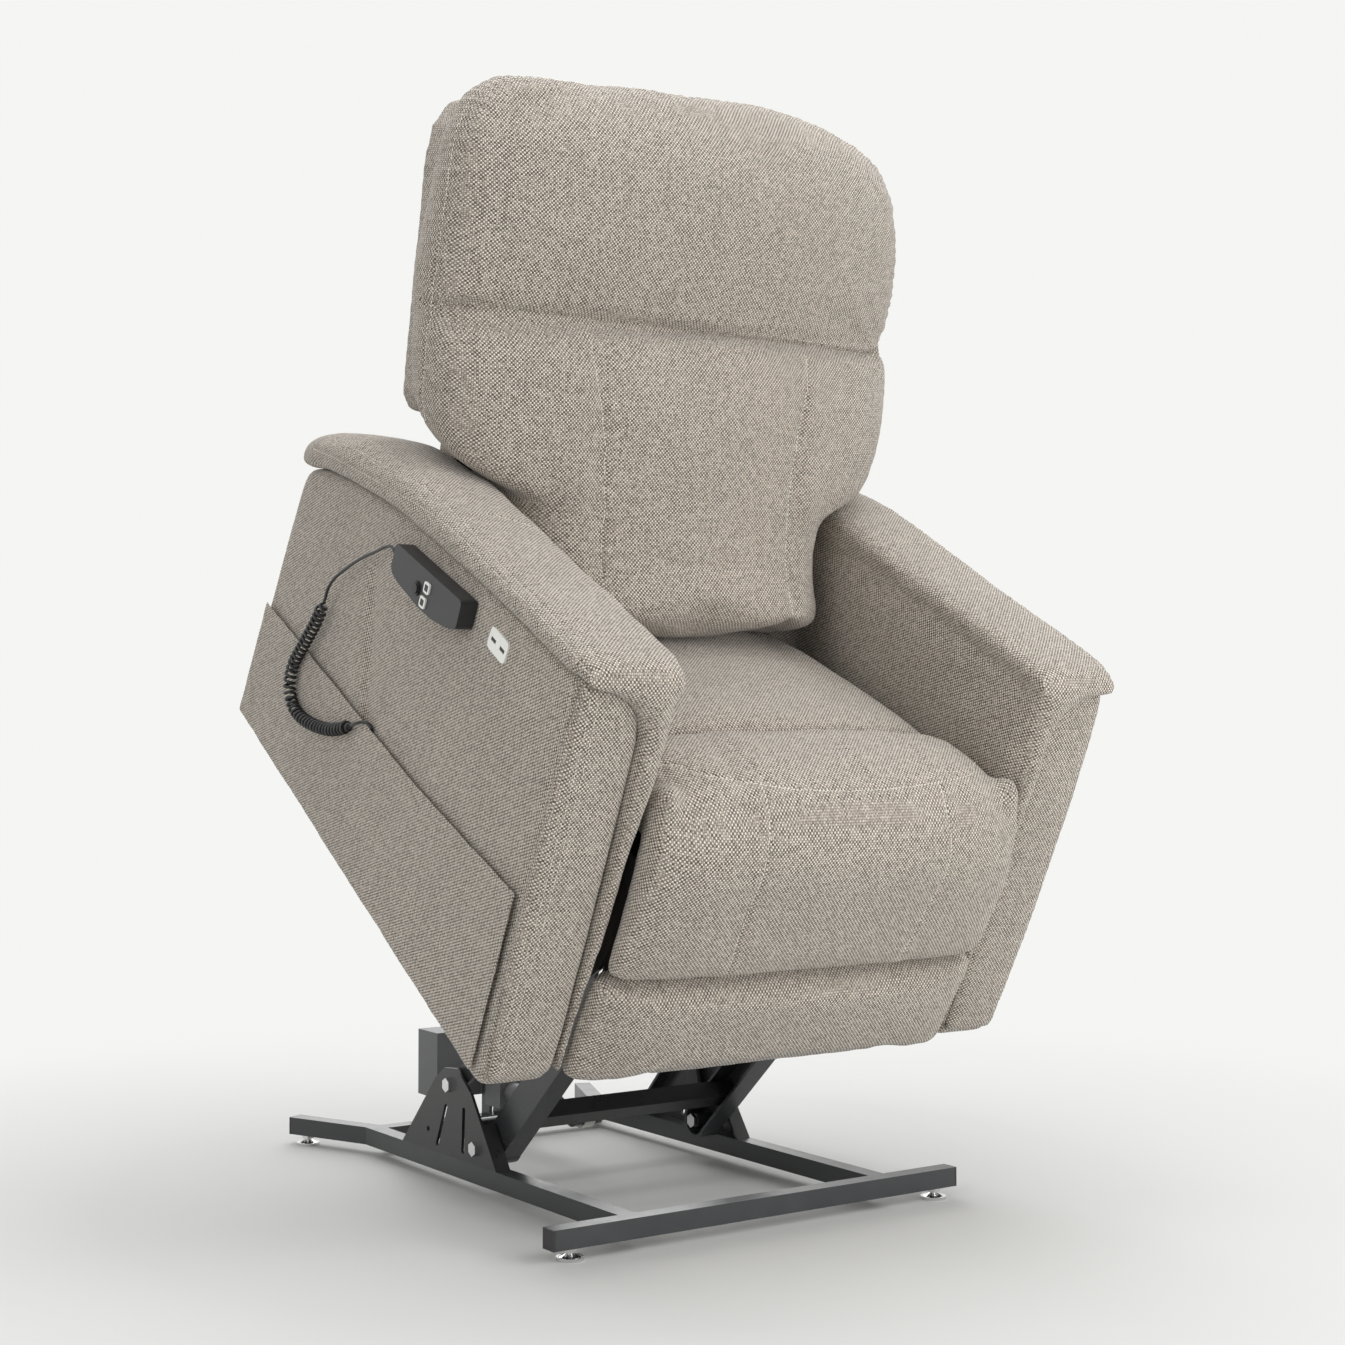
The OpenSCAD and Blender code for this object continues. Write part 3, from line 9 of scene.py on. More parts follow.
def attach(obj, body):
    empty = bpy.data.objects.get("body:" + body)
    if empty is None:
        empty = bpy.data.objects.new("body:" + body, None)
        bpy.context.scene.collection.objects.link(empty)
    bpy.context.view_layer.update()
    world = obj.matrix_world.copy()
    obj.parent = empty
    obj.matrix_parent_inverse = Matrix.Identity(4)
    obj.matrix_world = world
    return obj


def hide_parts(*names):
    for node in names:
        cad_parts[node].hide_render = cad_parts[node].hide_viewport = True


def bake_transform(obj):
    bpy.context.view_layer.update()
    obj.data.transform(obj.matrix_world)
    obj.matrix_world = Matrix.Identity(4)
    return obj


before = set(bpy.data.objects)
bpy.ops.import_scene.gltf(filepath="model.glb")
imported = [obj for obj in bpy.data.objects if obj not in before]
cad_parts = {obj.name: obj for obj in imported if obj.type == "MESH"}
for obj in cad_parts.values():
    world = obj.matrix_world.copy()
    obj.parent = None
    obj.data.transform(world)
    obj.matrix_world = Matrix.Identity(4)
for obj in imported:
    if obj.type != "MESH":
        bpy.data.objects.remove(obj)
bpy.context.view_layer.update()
collection = bpy.context.scene.collection
mm = 0.001

# camera at the photograph's place
photoCamera = {"place": (-1.6385, -2.4711, 0.6426), "azimuth": 34.66, "rise": 1.11, "lens": 57.77,
               "sensor": 36.0, "farthest": 60}


def addCamera(s):
    data = bpy.data.cameras.new("photoCamera")
    data.lens = s["lens"]
    data.sensor_width = s["sensor"]
    data.clip_end = s["farthest"]
    camera = bpy.data.objects.new("photoCamera", data)
    camera.location = s["place"]
    camera.rotation_euler = (math.radians(90 + s["rise"]), 0, math.radians(-s["azimuth"]))
    collection.objects.link(camera)
    bpy.context.scene.camera = camera


addCamera(photoCamera)

# the raised chair's own frame: across, forward of its rear edge and up, and the back's frame on it:
# across, up the cushion and out of it; all in millimetres and degrees
chairFrame = {"raised": (-190.18, 288.17), "rest": (-276.79, 73.80), "tilt": 32.4, "rear": 428.0, "low": 50.0}
backFrame = {"hinge": (243, 240), "lean": 20.7}
tilt = Matrix.Rotation(math.radians(chairFrame["tilt"]), 4, "X")
chairMatrix = (Matrix.Translation((0, chairFrame["raised"][0] * mm, chairFrame["raised"][1] * mm)) @ tilt
               @ Matrix.Translation((0, (chairFrame["rear"] - chairFrame["rest"][0]) * mm,
                                     (chairFrame["low"] - chairFrame["rest"][1]) * mm)))
backMatrix = (chairMatrix @ Matrix.Translation((0, -backFrame["hinge"][0] * mm, backFrame["hinge"][1] * mm))
              @ Matrix.Rotation(math.radians(90 - backFrame["lean"]), 4, "X"))


def onChair(x, f, u):
    return chairMatrix @ Vector((x * mm, -f * mm, u * mm))


def onBack(x, v, n):
    return backMatrix @ Vector((x * mm, v * mm, n * mm))


# materials
class Tree:
    def __init__(self, name):
        self.material = bpy.data.materials.new(name)
        self.material.use_nodes = True
        self.nodes = self.material.node_tree.nodes
        self.links = self.material.node_tree.links
        self.shader = self.nodes["Principled BSDF"]

    def add(self, kind, **values):
        node = self.nodes.new(kind)
        for key, value in values.items():
            setattr(node, key, value)
        return node

    def feed(self, socket, value):
        if isinstance(value, (int, float, tuple)):
            socket.default_value = value
        else:
            self.links.new(value, socket)

    def math(self, operation, a, b=0.0, c=0.0):
        node = self.add("ShaderNodeMath", operation=operation)
        for socket, value in zip(node.inputs, (a, b, c)):
            self.feed(socket, value)
        return node.outputs[0]

    def plus(self, a, b):
        return self.math("ADD", a, b)

    def minus(self, a, b):
        return self.math("SUBTRACT", a, b)

    def times(self, a, b):
        return self.math("MULTIPLY", a, b)

    def mix(self, share, a, b):
        node = self.add("ShaderNodeMix", data_type="RGBA")
        self.feed(node.inputs[0], share)
        self.feed(node.inputs[6], a)
        self.feed(node.inputs[7], b)
        return node.outputs[2]

    def ramp(self, value, stops):
        node = self.add("ShaderNodeValToRGB")
        while len(node.color_ramp.elements) < len(stops):
            node.color_ramp.elements.new(0.5)
        for element, (place, colour) in zip(node.color_ramp.elements, stops):
            element.position = place
            element.color = colour
        self.feed(node.inputs[0], value)
        return node.outputs[0]

    def speckle(self, coordinate, scale, detail, rough=0.5):
        node = self.add("ShaderNodeTexNoise")
        self.feed(node.inputs["Vector"], coordinate)
        node.inputs["Scale"].default_value = scale
        node.inputs["Detail"].default_value = detail
        node.inputs["Roughness"].default_value = rough
        return node.outputs[0]

    def place(self):
        return self.add("ShaderNodeTexCoord").outputs["Object"]

    def bump(self, height, distance, strength):
        node = self.add("ShaderNodeBump")
        node.inputs["Strength"].default_value = strength
        node.inputs["Distance"].default_value = distance
        self.feed(node.inputs["Height"], height)
        self.feed(self.shader.inputs["Normal"], node.outputs[0])


# the cloth: size and form of a strand, what makes its tone uneven, the painted shade that darkens the hollows
# between the strands, and its colours from dark to light
weave = {
    "pitch": 2.45 * mm, "strandPower": 0.6, "hollowShade": 0.36, "crown": 0.8, "overlap": 0.2,
    "check": 0.7, "random": 0.48, "streak": 0.06, "threadShift": 517.0,
    "cloud": 0.1, "cloudGrain": (9.0, 3.0, 0.6), "fuzz": 0.25, "fuzzGrain": (2600.0, 1.0),
    "tones": [(0.1, (0.09, 0.074, 0.06, 1)), (0.52, (0.355, 0.311, 0.263, 1)), (1.0, (0.74, 0.675, 0.59, 1))],
    "bump": 0.9 * mm, "bumpStrength": 0.75, "rough": 0.92, "sheen": 0.25, "sheenRough": 0.5, "specular": 0.25,
}


def weaveFace(t, along, across, number, s):
    # height and tone of the basket weave on one face, from the two coordinates in it
    a = t.math("DIVIDE", along, s["pitch"])
    b = t.math("DIVIDE", across, s["pitch"])
    waveA = t.math("ABSOLUTE", t.math("SINE", t.times(a, math.pi)))
    waveB = t.math("ABSOLUTE", t.math("SINE", t.times(b, math.pi)))
    lift = t.times(t.math("POWER", waveA, s["strandPower"]), t.math("POWER", waveB, s["strandPower"]))
    cellA, cellB = t.math("FLOOR", a), t.math("FLOOR", b)
    over = t.math("ABSOLUTE", t.math("MODULO", t.plus(cellA, cellB), 2.0))
    cell = t.add("ShaderNodeCombineXYZ")
    t.feed(cell.inputs[0], cellA)
    t.feed(cell.inputs[1], cellB)
    t.feed(cell.inputs[2], number)
    random = t.add("ShaderNodeTexWhiteNoise", noise_dimensions="3D")
    t.feed(random.inputs["Vector"], cell.outputs[0])
    # each thread has one number along its whole length, in either direction
    under = t.times(t.minus(1.0, over), t.plus(cellB, s["threadShift"]))
    thread = t.add("ShaderNodeTexWhiteNoise", noise_dimensions="1D")
    t.feed(thread.inputs["W"], t.plus(t.times(over, cellA), under))
    tone = t.plus(t.times(over, s["check"]), t.times(random.outputs["Value"], s["random"]))
    tone = t.plus(tone, t.times(thread.outputs["Value"], s["streak"]))
    # painted shade: the tone is darkened in the hollows where the strands dip between their crowns, and is
    # full on the crowns
    tone = t.times(tone, t.plus(s["hollowShade"], t.times(lift, s["crown"])))
    return t.plus(t.times(lift, s["crown"]), t.times(over, s["overlap"])), tone


def wovenFabric(name, s):
    # basket weave on a piece's own weave coordinates, three faces mixed by its own weights
    t = Tree(name)
    co = t.add("ShaderNodeAttribute", attribute_name="weavePlace").outputs["Vector"]
    side = t.add("ShaderNodeAttribute", attribute_name="weaveSide").outputs["Vector"]
    split = t.add("ShaderNodeSeparateXYZ")
    t.feed(split.inputs[0], co)
    share = t.add("ShaderNodeSeparateXYZ")
    t.feed(share.inputs[0], side)
    height = tone = 0.0
    for face, (first, second) in enumerate(((1, 2), (0, 2), (0, 1))):
        number = first * 3.0 + second
        faceHeight, faceTone = weaveFace(t, split.outputs[first], split.outputs[second], number, s)
        height = t.plus(height, t.times(faceHeight, share.outputs[face]))
        tone = t.plus(tone, t.times(faceTone, share.outputs[face]))
    cloud = t.minus(t.speckle(co, *s["cloudGrain"]), 0.5)
    tone = t.plus(tone, t.times(cloud, s["cloud"]))
    t.feed(t.shader.inputs["Base Color"], t.ramp(tone, s["tones"]))
    t.feed(t.shader.inputs["Roughness"], s["rough"])
    t.feed(t.shader.inputs["Sheen Weight"], s["sheen"])
    t.feed(t.shader.inputs["Sheen Roughness"], s["sheenRough"])
    t.feed(t.shader.inputs["Specular IOR Level"], s["specular"])
    fuzz = t.speckle(co, *s["fuzzGrain"])
    t.bump(t.plus(height, t.times(fuzz, s["fuzz"])), s["bump"], s["bumpStrength"])
    return t.material


# hard finishes: patches mixed in by a share, in the colour times gain plus lift, and a fine grain
paintedSteel = {"patch": (22.0, 4.0, 0.6), "share": 0.24, "gain": 1.7, "lift": 0.02, "metallic": 0.0,
                "uneven": 0.22, "grain": (1400.0, 2.0), "depth": 0.12 * mm, "bump": 0.35}
bareMetal = {"patch": (60.0, 4.0, 0.65), "share": 1.0, "gain": 0.78, "lift": 0.0, "metallic": 1.0,
             "uneven": 0.2, "grain": (900.0, 3.0), "depth": 0.05 * mm, "bump": 0.2}
mouldedPlastic = {"patch": (35.0, 3.0), "share": 0.25, "gain": 1.3, "lift": 0.01, "metallic": 0.0,
                  "uneven": 0.12, "grain": (2200.0, 1.0), "depth": 0.06 * mm, "bump": 0.3}


def hardFinish(name, colour, rough, s):
    t = Tree(name)
    co = t.place()
    patch = t.speckle(co, *s["patch"])
    other = tuple(min(1, c * s["gain"] + s["lift"]) for c in colour[:3]) + (1,)
    t.feed(t.shader.inputs["Base Color"], t.mix(t.times(patch, s["share"]), colour, other))
    t.feed(t.shader.inputs["Metallic"], s["metallic"])
    t.feed(t.shader.inputs["Roughness"], t.plus(rough, t.times(t.minus(patch, 0.5), s["uneven"])))
    t.bump(t.speckle(co, *s["grain"]), s["depth"], s["bump"])
    return t.material


fabric = wovenFabric("tweedFabric", weave)
threadMaterial = hardFinish("stitchThread", (0.78, 0.74, 0.67, 1), 0.75, mouldedPlastic)
quietThread = hardFinish("quietThread", (0.66, 0.61, 0.54, 1), 0.8, mouldedPlastic)
frameGrey = hardFinish("frameGrey", (0.028, 0.03, 0.032, 1), 0.33, paintedSteel)
towerGrey = hardFinish("towerGrey", (0.014, 0.014, 0.015, 1), 0.3, paintedSteel)
linkGrey = hardFinish("linkGrey", (0.025, 0.026, 0.028, 1), 0.3, paintedSteel)
satinBlack = hardFinish("satinBlack", (0.012, 0.012, 0.013, 1), 0.3, paintedSteel)
zinc = hardFinish("zincPlate", (0.62, 0.61, 0.58, 1), 0.32, bareMetal)
chrome = hardFinish("brightChrome", (0.8, 0.8, 0.8, 1), 0.12, bareMetal)
blackPlastic = hardFinish("blackPlastic", (0.012, 0.012, 0.013, 1), 0.42, mouldedPlastic)
housingPlastic = hardFinish("housingPlastic", (0.11, 0.112, 0.115, 1), 0.5, mouldedPlastic)
handsetPlastic = hardFinish("handsetPlastic", (0.018, 0.019, 0.02, 1), 0.38, mouldedPlastic)
whitePlastic = hardFinish("whitePlastic", (0.78, 0.78, 0.74, 1), 0.3, mouldedPlastic)
cordRubber = hardFinish("cordRubber", (0.01, 0.01, 0.011, 1), 0.3, mouldedPlastic)
fibreBoard = hardFinish("fibreBoard", (0.035, 0.03, 0.026, 1), 0.85, mouldedPlastic)
cadFinishes = {
    frameGrey: ["rail_right", "rail_left", "front_bar", "rear_bar"],
    towerGrey: ["tower_right", "tower_left"],
    linkGrey: ["front_arm_right", "front_arm_left", "rear_link_right", "rear_link_left", "torque_tube",
               "carriage_right", "carriage_left", "recliner_plates", "leg_tube", "leg_links"],
    satinBlack: ["lift_cross_tube", "seat_box", "back_frame"],
    chrome: ["levelling_feet", "tower_bolts", "carriage_pins"],
    zinc: ["lift_rod", "back_rod", "leg_rod", "seat_springs"],
    blackPlastic: ["end_caps", "control_box", "handset_holder", "lift_knob"],
    housingPlastic: ["lift_motor", "back_motor", "leg_motor"],
    whitePlastic: ["charging_socket", "key_up", "key_down"],
    handsetPlastic: ["handset"],
    cordRubber: ["strain_relief", "cord_stretch", "cord_coil", "cord_sleeve"],
    fibreBoard: ["leg_board", "foot_board"],
}


def finishNodes(table):
    for material, names in table.items():
        for name in names:
            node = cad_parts[name]
            node.data.materials.clear()
            node.data.materials.append(material)


finishNodes(cadFinishes)
print("materials and CAD finishes done")


# mesh helpers: points closer than the merge gap become one
mergeGap = 0.05 * mm
smoothFactor = 0.5


def meshFrom(bm, name, material):
    data = bpy.data.meshes.new(name)
    bm.to_mesh(data)
    bm.free()
    piece = bpy.data.objects.new(name, data)
    collection.objects.link(piece)
    data.materials.append(material)
    for polygon in data.polygons:
        polygon.use_smooth = True
    return piece


def copyNodes(nodes, name, blobs, place, matrix, swell):
    # the nodes' solids and round fillers between them, to be made one skin by the remesh
    bm = bmesh.new()
    for node in nodes:
        bm.from_mesh(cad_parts[node].data)
    bmesh.ops.remove_doubles(bm, verts=bm.verts, dist=mergeGap)
    bmesh.ops.recalc_face_normals(bm, faces=bm.faces)
    if swell:
        bm.normal_update()
        for vertex in bm.verts:
            vertex.co += vertex.normal * swell * mm
    turn = matrix.to_3x3().to_4x4()
    for centre, radii in blobs:
        size = Matrix.Diagonal((*(r * mm for r in radii), 1))
        bmesh.ops.create_icosphere(bm, subdivisions=3, radius=1.0,
                                   matrix=Matrix.Translation(place(*centre)) @ turn @ size)
    return meshFrom(bm, name, fabric)


def chain(points, step=9.0):
    # overlapping blobs along a line of (x, a, b, rx, ra, rb) in the piece's own frame
    made = []
    for a, b in zip(points, points[1:]):
        count = max(1, int(math.dist(a[:3], b[:3]) / step))
        for k in range(count):
            t = k / count
            at = [p + (q - p) * t for p, q in zip(a, b)]
            made.append((at[:3], at[3:]))
    made.append((points[-1][:3], points[-1][3:]))
    return made


def applyModifiers(piece):
    shown = bpy.context.evaluated_depsgraph_get()
    made = bpy.data.meshes.new_from_object(piece.evaluated_get(shown))
    old = piece.data
    piece.modifiers.clear()
    piece.data = made
    made.name = old.name + "Made"
    bpy.data.meshes.remove(old)
    for polygon in made.polygons:
        polygon.use_smooth = True


def remesh(piece, voxel):
    modifier = piece.modifiers.new("remesh", "REMESH")
    modifier.mode = "VOXEL"
    modifier.voxel_size = voxel
    applyModifiers(piece)


def smooth(piece, repeat):
    modifier = piece.modifiers.new("smooth", "SMOOTH")
    modifier.factor = smoothFactor
    modifier.iterations = repeat
    applyModifiers(piece)


def roundOff(piece, inside, repeat):
    # smooths only the points that the test picks, so an edge there turns soft
    bm = bmesh.new()
    bm.from_mesh(piece.data)
    picked = [v for v in bm.verts if inside(v.co)]
    for _ in range(repeat):
        bmesh.ops.smooth_vert(bm, verts=picked, factor=smoothFactor,
                              use_axis_x=True, use_axis_y=True, use_axis_z=True)
    bm.to_mesh(piece.data)
    bm.free()
    piece.data.update()


def subdivide(piece):
    modifier = piece.modifiers.new("finer", "SUBSURF")
    modifier.levels = modifier.render_levels = 1
    applyModifiers(piece)


def alongLine(points, step):
    # points every step along a smooth line through the given ones, with the distance run
    dense, n = [], len(points)
    for i in range(n - 1):
        p0, p1, p2, p3 = points[max(i - 1, 0)], points[i], points[i + 1], points[min(i + 2, n - 1)]
        count = max(2, int((p2 - p1).length / step * 2))
        for k in range(count):
            t = k / count
            dense.append(0.5 * (2 * p1 + (p2 - p0) * t + (2 * p0 - 5 * p1 + 4 * p2 - p3) * t * t
                                + (3 * p1 - p0 - 3 * p2 + p3) * t ** 3))
    dense.append(points[-1].copy())
    made, run, due = [(dense[0], 0.0)], 0.0, step
    for a, b in zip(dense, dense[1:]):
        length = (b - a).length
        while length > 1e-9 and run + length >= due:
            made.append((a.lerp(b, (due - run) / length), due))
            due += step
        run += length
    return made


def nearLines(lines, step=2 * mm):
    # marks along all the lines, each with its run and its line's number, and a tree to find the nearest
    marks = [(point, run, i) for i, line in enumerate(lines) for point, run in alongLine(line, step)]
    tree = KDTree(max(1, len(marks)))
    for i, (point, _, _) in enumerate(marks):
        tree.insert(point, i)
    tree.balance()
    return tree, marks


# what holds for every cushion and cover unless its own settings say otherwise; lengths in millimetres
usual = {
    "blobs": (), "swell": 0, "voxel": 6, "smooth": 6, "seams": [], "creases": [], "hold": None,
    "puffed": True, "pin": 7, "frames": 16, "cap": 14, "smoothAfter": 2, "rounded": None, "roundedRepeat": 22,
    "seed": 1, "wave": 0.8, "waveScale": 14.0, "waveShift": 3.1,
    "fineWave": 0.35, "fineScale": 55.0, "fineShift": 1.7,
    "seamWidth": 3.2, "seamDepth": 2.6, "pucker": 0.9, "puckerReach": 22, "puckerRange": 3, "puckerPitch": 15,
    "drift": 3.0, "driftScale": 25, "driftShift": 7.0,
}
coverCloth = {
    "quality": 4, "mass": 0.35, "tension_stiffness": 12, "compression_stiffness": 12, "shear_stiffness": 6,
    "bending_stiffness": 0.6, "use_pressure": True, "uniform_pressure_force": 4.0,
    "vertex_group_mass": "pinned", "pin_stiffness": 1.0,
}


def puff(piece, pinned, s):
    # inflate between the pinned seams, then cap how far a point may move
    rest = [v.co.copy() for v in piece.data.vertices]
    piece.vertex_groups.new(name=coverCloth["vertex_group_mass"]).add(pinned, 1.0, "REPLACE")
    cloth = piece.modifiers.new("cloth", "CLOTH")
    for key, value in coverCloth.items():
        setattr(cloth.settings, key, value)
    cloth.settings.effector_weights.gravity = 0
    cloth.collision_settings.use_collision = False
    cloth.point_cache.frame_start = 1
    cloth.point_cache.frame_end = s["frames"]
    scene = bpy.context.scene
    for number in range(1, s["frames"] + 1):
        scene.frame_set(number)
    applyModifiers(piece)
    scene.frame_set(1)
    piece.vertex_groups.clear()
    cap = s["cap"] * mm
    for vertex, start in zip(piece.data.vertices, rest):
        move = vertex.co - start
        if move.length > cap:
            vertex.co = start + move * (cap / move.length)


def placed(lines, place):
    return [[place(*p) for p in line] for line in lines]


def settle(piece, s, place):
    # waves of the cover, seam grooves and the puckers beside them, in one pass along the normals
    lines = placed(s["seams"], place)
    piece.data.update()
    normals = [v.normal.copy() for v in piece.data.vertices]
    if lines:
        tree, marks = nearLines(lines)
    wave, seed = s["wave"], s["seed"]
    waveShift, fineShift = Vector((seed * s["waveShift"], 0, 0)), Vector((0, seed * s["fineShift"], 0))
    width, reach, pitch = s["seamWidth"] * mm, s["puckerReach"] * mm, s["puckerPitch"] * mm
    for vertex, normal in zip(piece.data.vertices, normals):
        co = vertex.co
        move = wave * mm * noise.noise(co * s["waveScale"] + waveShift)
        move += s["fineWave"] * wave * mm * noise.noise(co * s["fineScale"] + fineShift)
        if lines:
            _, index, gap = tree.find(co)
            _, run, number = marks[index]
            move -= s["seamDepth"] * mm * math.exp(-(gap / width) ** 2)
            if gap < s["puckerRange"] * reach:
                spot = Vector((run * s["driftScale"], number * s["driftShift"], seed))
                beat = math.sin(run / pitch * 2 * math.pi + s["drift"] * noise.noise(spot))
                fade = math.exp(-gap / reach) * (1 - math.exp(-(gap / width) ** 2))
                move += s["pucker"] * mm * beat * fade
        vertex.co = co + normal * move


# a crease's core and reach as shares of its width, and its slopes on the upper and lower side
creaseForm = {"core": 2, "reach": 5, "upper": 0.7, "lower": 1.4}


def crease(piece, line, depth, width, up):
    # a hollow pressed straight in where the cover hangs slack, steeper on its upper side
    tree, _ = nearLines([line])
    piece.data.update()
    found = [tree.find(vertex.co) for vertex in piece.data.vertices]
    normals = [vertex.normal.copy() for vertex in piece.data.vertices]
    core, reach = creaseForm["core"] * width * mm, creaseForm["reach"] * width * mm
    way = sum((n for n, (_, _, gap) in zip(normals, found) if gap < core), Vector()).normalized()
    for vertex, normal, (mark, _, gap) in zip(piece.data.vertices, normals, found):
        if gap < reach:
            side = "upper" if (vertex.co - mark).dot(up) > 0 else "lower"
            slope = width * mm * creaseForm[side]
            vertex.co -= way * depth * mm * max(normal.dot(way), 0) * math.exp(-(gap / slope) ** 2)


# the higher, the narrower the zone where two faces of the weave mix
faceSharpness = 6


def addWeave(piece, inverse):
    # weave coordinates in the piece's own frame and the weights of the three faces
    turn = inverse.to_3x3()
    data = piece.data
    data.update()
    places = data.attributes.new("weavePlace", "FLOAT_VECTOR", "POINT")
    sides = data.attributes.new("weaveSide", "FLOAT_VECTOR", "POINT")
    placeValues, sideValues = [], []
    for vertex in data.vertices:
        placeValues.extend(inverse @ vertex.co)
        weights = [abs(c) ** faceSharpness for c in turn @ vertex.normal]
        total = sum(weights) or 1.0
        sideValues.extend(w / total for w in weights)
    places.data.foreach_set("vector", placeValues)
    sides.data.foreach_set("vector", sideValues)


def pinnedPoints(piece, s, place, inverse):
    # the points on a seam, and those that the piece's own test holds
    if s["seams"]:
        tree, _ = nearLines(placed(s["seams"], place))
    turn = inverse.to_3x3()
    pinned = []
    for vertex in piece.data.vertices:
        onSeam = s["seams"] and tree.find(vertex.co)[2] < s["pin"] * mm
        held = s["hold"] and s["hold"](inverse @ vertex.co, turn @ vertex.normal)
        if onSeam or held:
            pinned.append(vertex.index)
    return pinned


def upholster(settings, place, matrix):
    # one skin over the nodes' solids, puffed between its seams, then creased and given its weave
    s = {**usual, **settings}
    inverse = matrix.inverted()
    piece = copyNodes(s["nodes"], s["name"], s["blobs"], place, matrix, s["swell"])
    remesh(piece, s["voxel"] * mm)
    smooth(piece, s["smooth"])
    if s["puffed"]:
        puff(piece, pinnedPoints(piece, s, place, inverse), s)
        smooth(piece, s["smoothAfter"])
    if s["rounded"]:
        roundOff(piece, lambda co: s["rounded"](inverse @ co), s["roundedRepeat"])
    if s["puffed"]:
        subdivide(piece)
    settle(piece, s, place)
    for line, depth, width in s["creases"]:
        crease(piece, [place(*p) for p in line], depth, width, matrix.to_3x3() @ Vector((0, 1, 0)))
    addWeave(piece, inverse)
    if s.get("body"):
        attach(piece, s["body"])
    else:
        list(s["blend"])
        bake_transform(piece)
    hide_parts(*s["nodes"], *s.get("alsoReplaces", []))
    s.get("fill", 0.8)
    print("upholstered", s["name"], len(piece.data.polygons))
    return piece


# lengths in millimetres
stitching = {"length": 4.4, "pitch": 6.2, "thick": 1.4, "lift": 0.45, "shortest": 1, "thread": threadMaterial}
quietStitching = {**stitching, "thick": 1.3, "lift": 0.4, "thread": quietThread}


def stitchLines(name, piece, lines, place, body, s=stitching):
    # thread beads laid on the piece along its topstitched lines
    bm = bmesh.new()
    surface = BVHTree.FromPolygons([v.co for v in piece.data.vertices],
                                   [p.vertices for p in piece.data.polygons])
    size = Matrix.Diagonal((s["length"] / 2 * mm, s["thick"] / 2 * mm, s["thick"] / 2 * mm, 1))
    for line in lines:
        marks = alongLine([place(*p) for p in line], s["pitch"] * mm)
        for (a, _), (b, _) in zip(marks, marks[1:]):
            first, second = surface.find_nearest(a), surface.find_nearest(b)
            along = second[0] - first[0]
            if along.length < s["shortest"] * mm:
                continue
            normal = (first[1] + second[1]).normalized()
            middle = (first[0] + second[0]) / 2 + normal * s["lift"] * mm
            along.normalize()
            across = along.cross(normal).normalized()
            up = across.cross(along).normalized()
            basis = Matrix((along, across, up)).transposed().to_4x4()
            bmesh.ops.create_icosphere(bm, subdivisions=1, radius=1.0,
                                       matrix=Matrix.Translation(middle) @ basis @ size)
    made = meshFrom(bm, name, s["thread"])
    if isinstance(body, str):
        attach(made, body)
    else:
        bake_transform(made)


# the handset's cord, by points (forward, up, out to the right) in the chair's frame
cordRoute = {
    "stretch": [(317.9, 440.37, 408.5), (312, 439.7, 408.5), (301, 434, 408.5), (285, 420, 409),
                (264, 402, 409), (242, 381, 410), (222, 359, 411), (206, 340, 412), (196, 324, 412.5),
                (192, 312, 413), (191, 303, 413)],
    "coil": [(191, 303, 413), (191, 292, 413), (184, 256, 413), (168, 212, 413), (155, 172, 413),
             (160, 142, 413), (184, 127, 413), (216, 128, 413), (258, 142, 413), (298, 162, 413),
             (328, 184, 413), (345, 199, 413), (353, 207, 412), (360, 213, 409), (366, 215.5, 404),
             (371, 213, 399.5), (373, 206, 398), (373, 198, 398)],
    "turns": 42, "perTurn": 24, "first": 0.022, "last": 0.88, "ease": 0.04, "curl": 18.0, "thick": 4.2,
    "step": 0.5, "straightStep": 4.0, "leadPoints": 4, "tailPoints": 16,
}


def routeLine(points, step):
    return alongLine([onChair(-x, f, u) for f, u, x in points], step * mm)


def curledLine(s):
    # the coil's own turning line about its route
    marks = routeLine(s["coil"], s["step"])
    spacing, last = s["step"] * mm, len(marks) - 1
    total = marks[-1][1]
    start, end, ease = s["first"] * total, s["last"] * total, s["ease"] * total

    def eased(t):
        c = min(max(t, 0), 1)
        return c * c * (3 - 2 * c)

    steps, lead, tail = s["turns"] * s["perTurn"], s["leadPoints"], s["tailPoints"]
    radius = (s["curl"] - s["thick"]) / 2 * mm
    places = [start * k / lead for k in range(lead)]
    places += [start + (end - start) * k / steps for k in range(steps + 1)]
    places += [end + (total - end) * k / tail for k in range(1, tail + 1)]
    made = []
    for d in places:
        i = min(int(d / spacing), last)
        heading = (marks[min(i + 2, last)][0] - marks[max(i - 2, 0)][0]).normalized()
        base = marks[i][0].lerp(marks[min(i + 1, last)][0], (d - marks[i][1]) / spacing)
        side = Vector((-1, 0, 0))
        side = (side - heading * side.dot(heading)).normalized()
        other = heading.cross(side)
        turn = -2 * math.pi * s["turns"] * min(max((d - start) / (end - start), 0), 1)
        out = radius * eased((d - start) / ease) * eased((end - d) / ease)
        made.append(base + (side * math.cos(turn) + other * math.sin(turn)) * out)
    return made


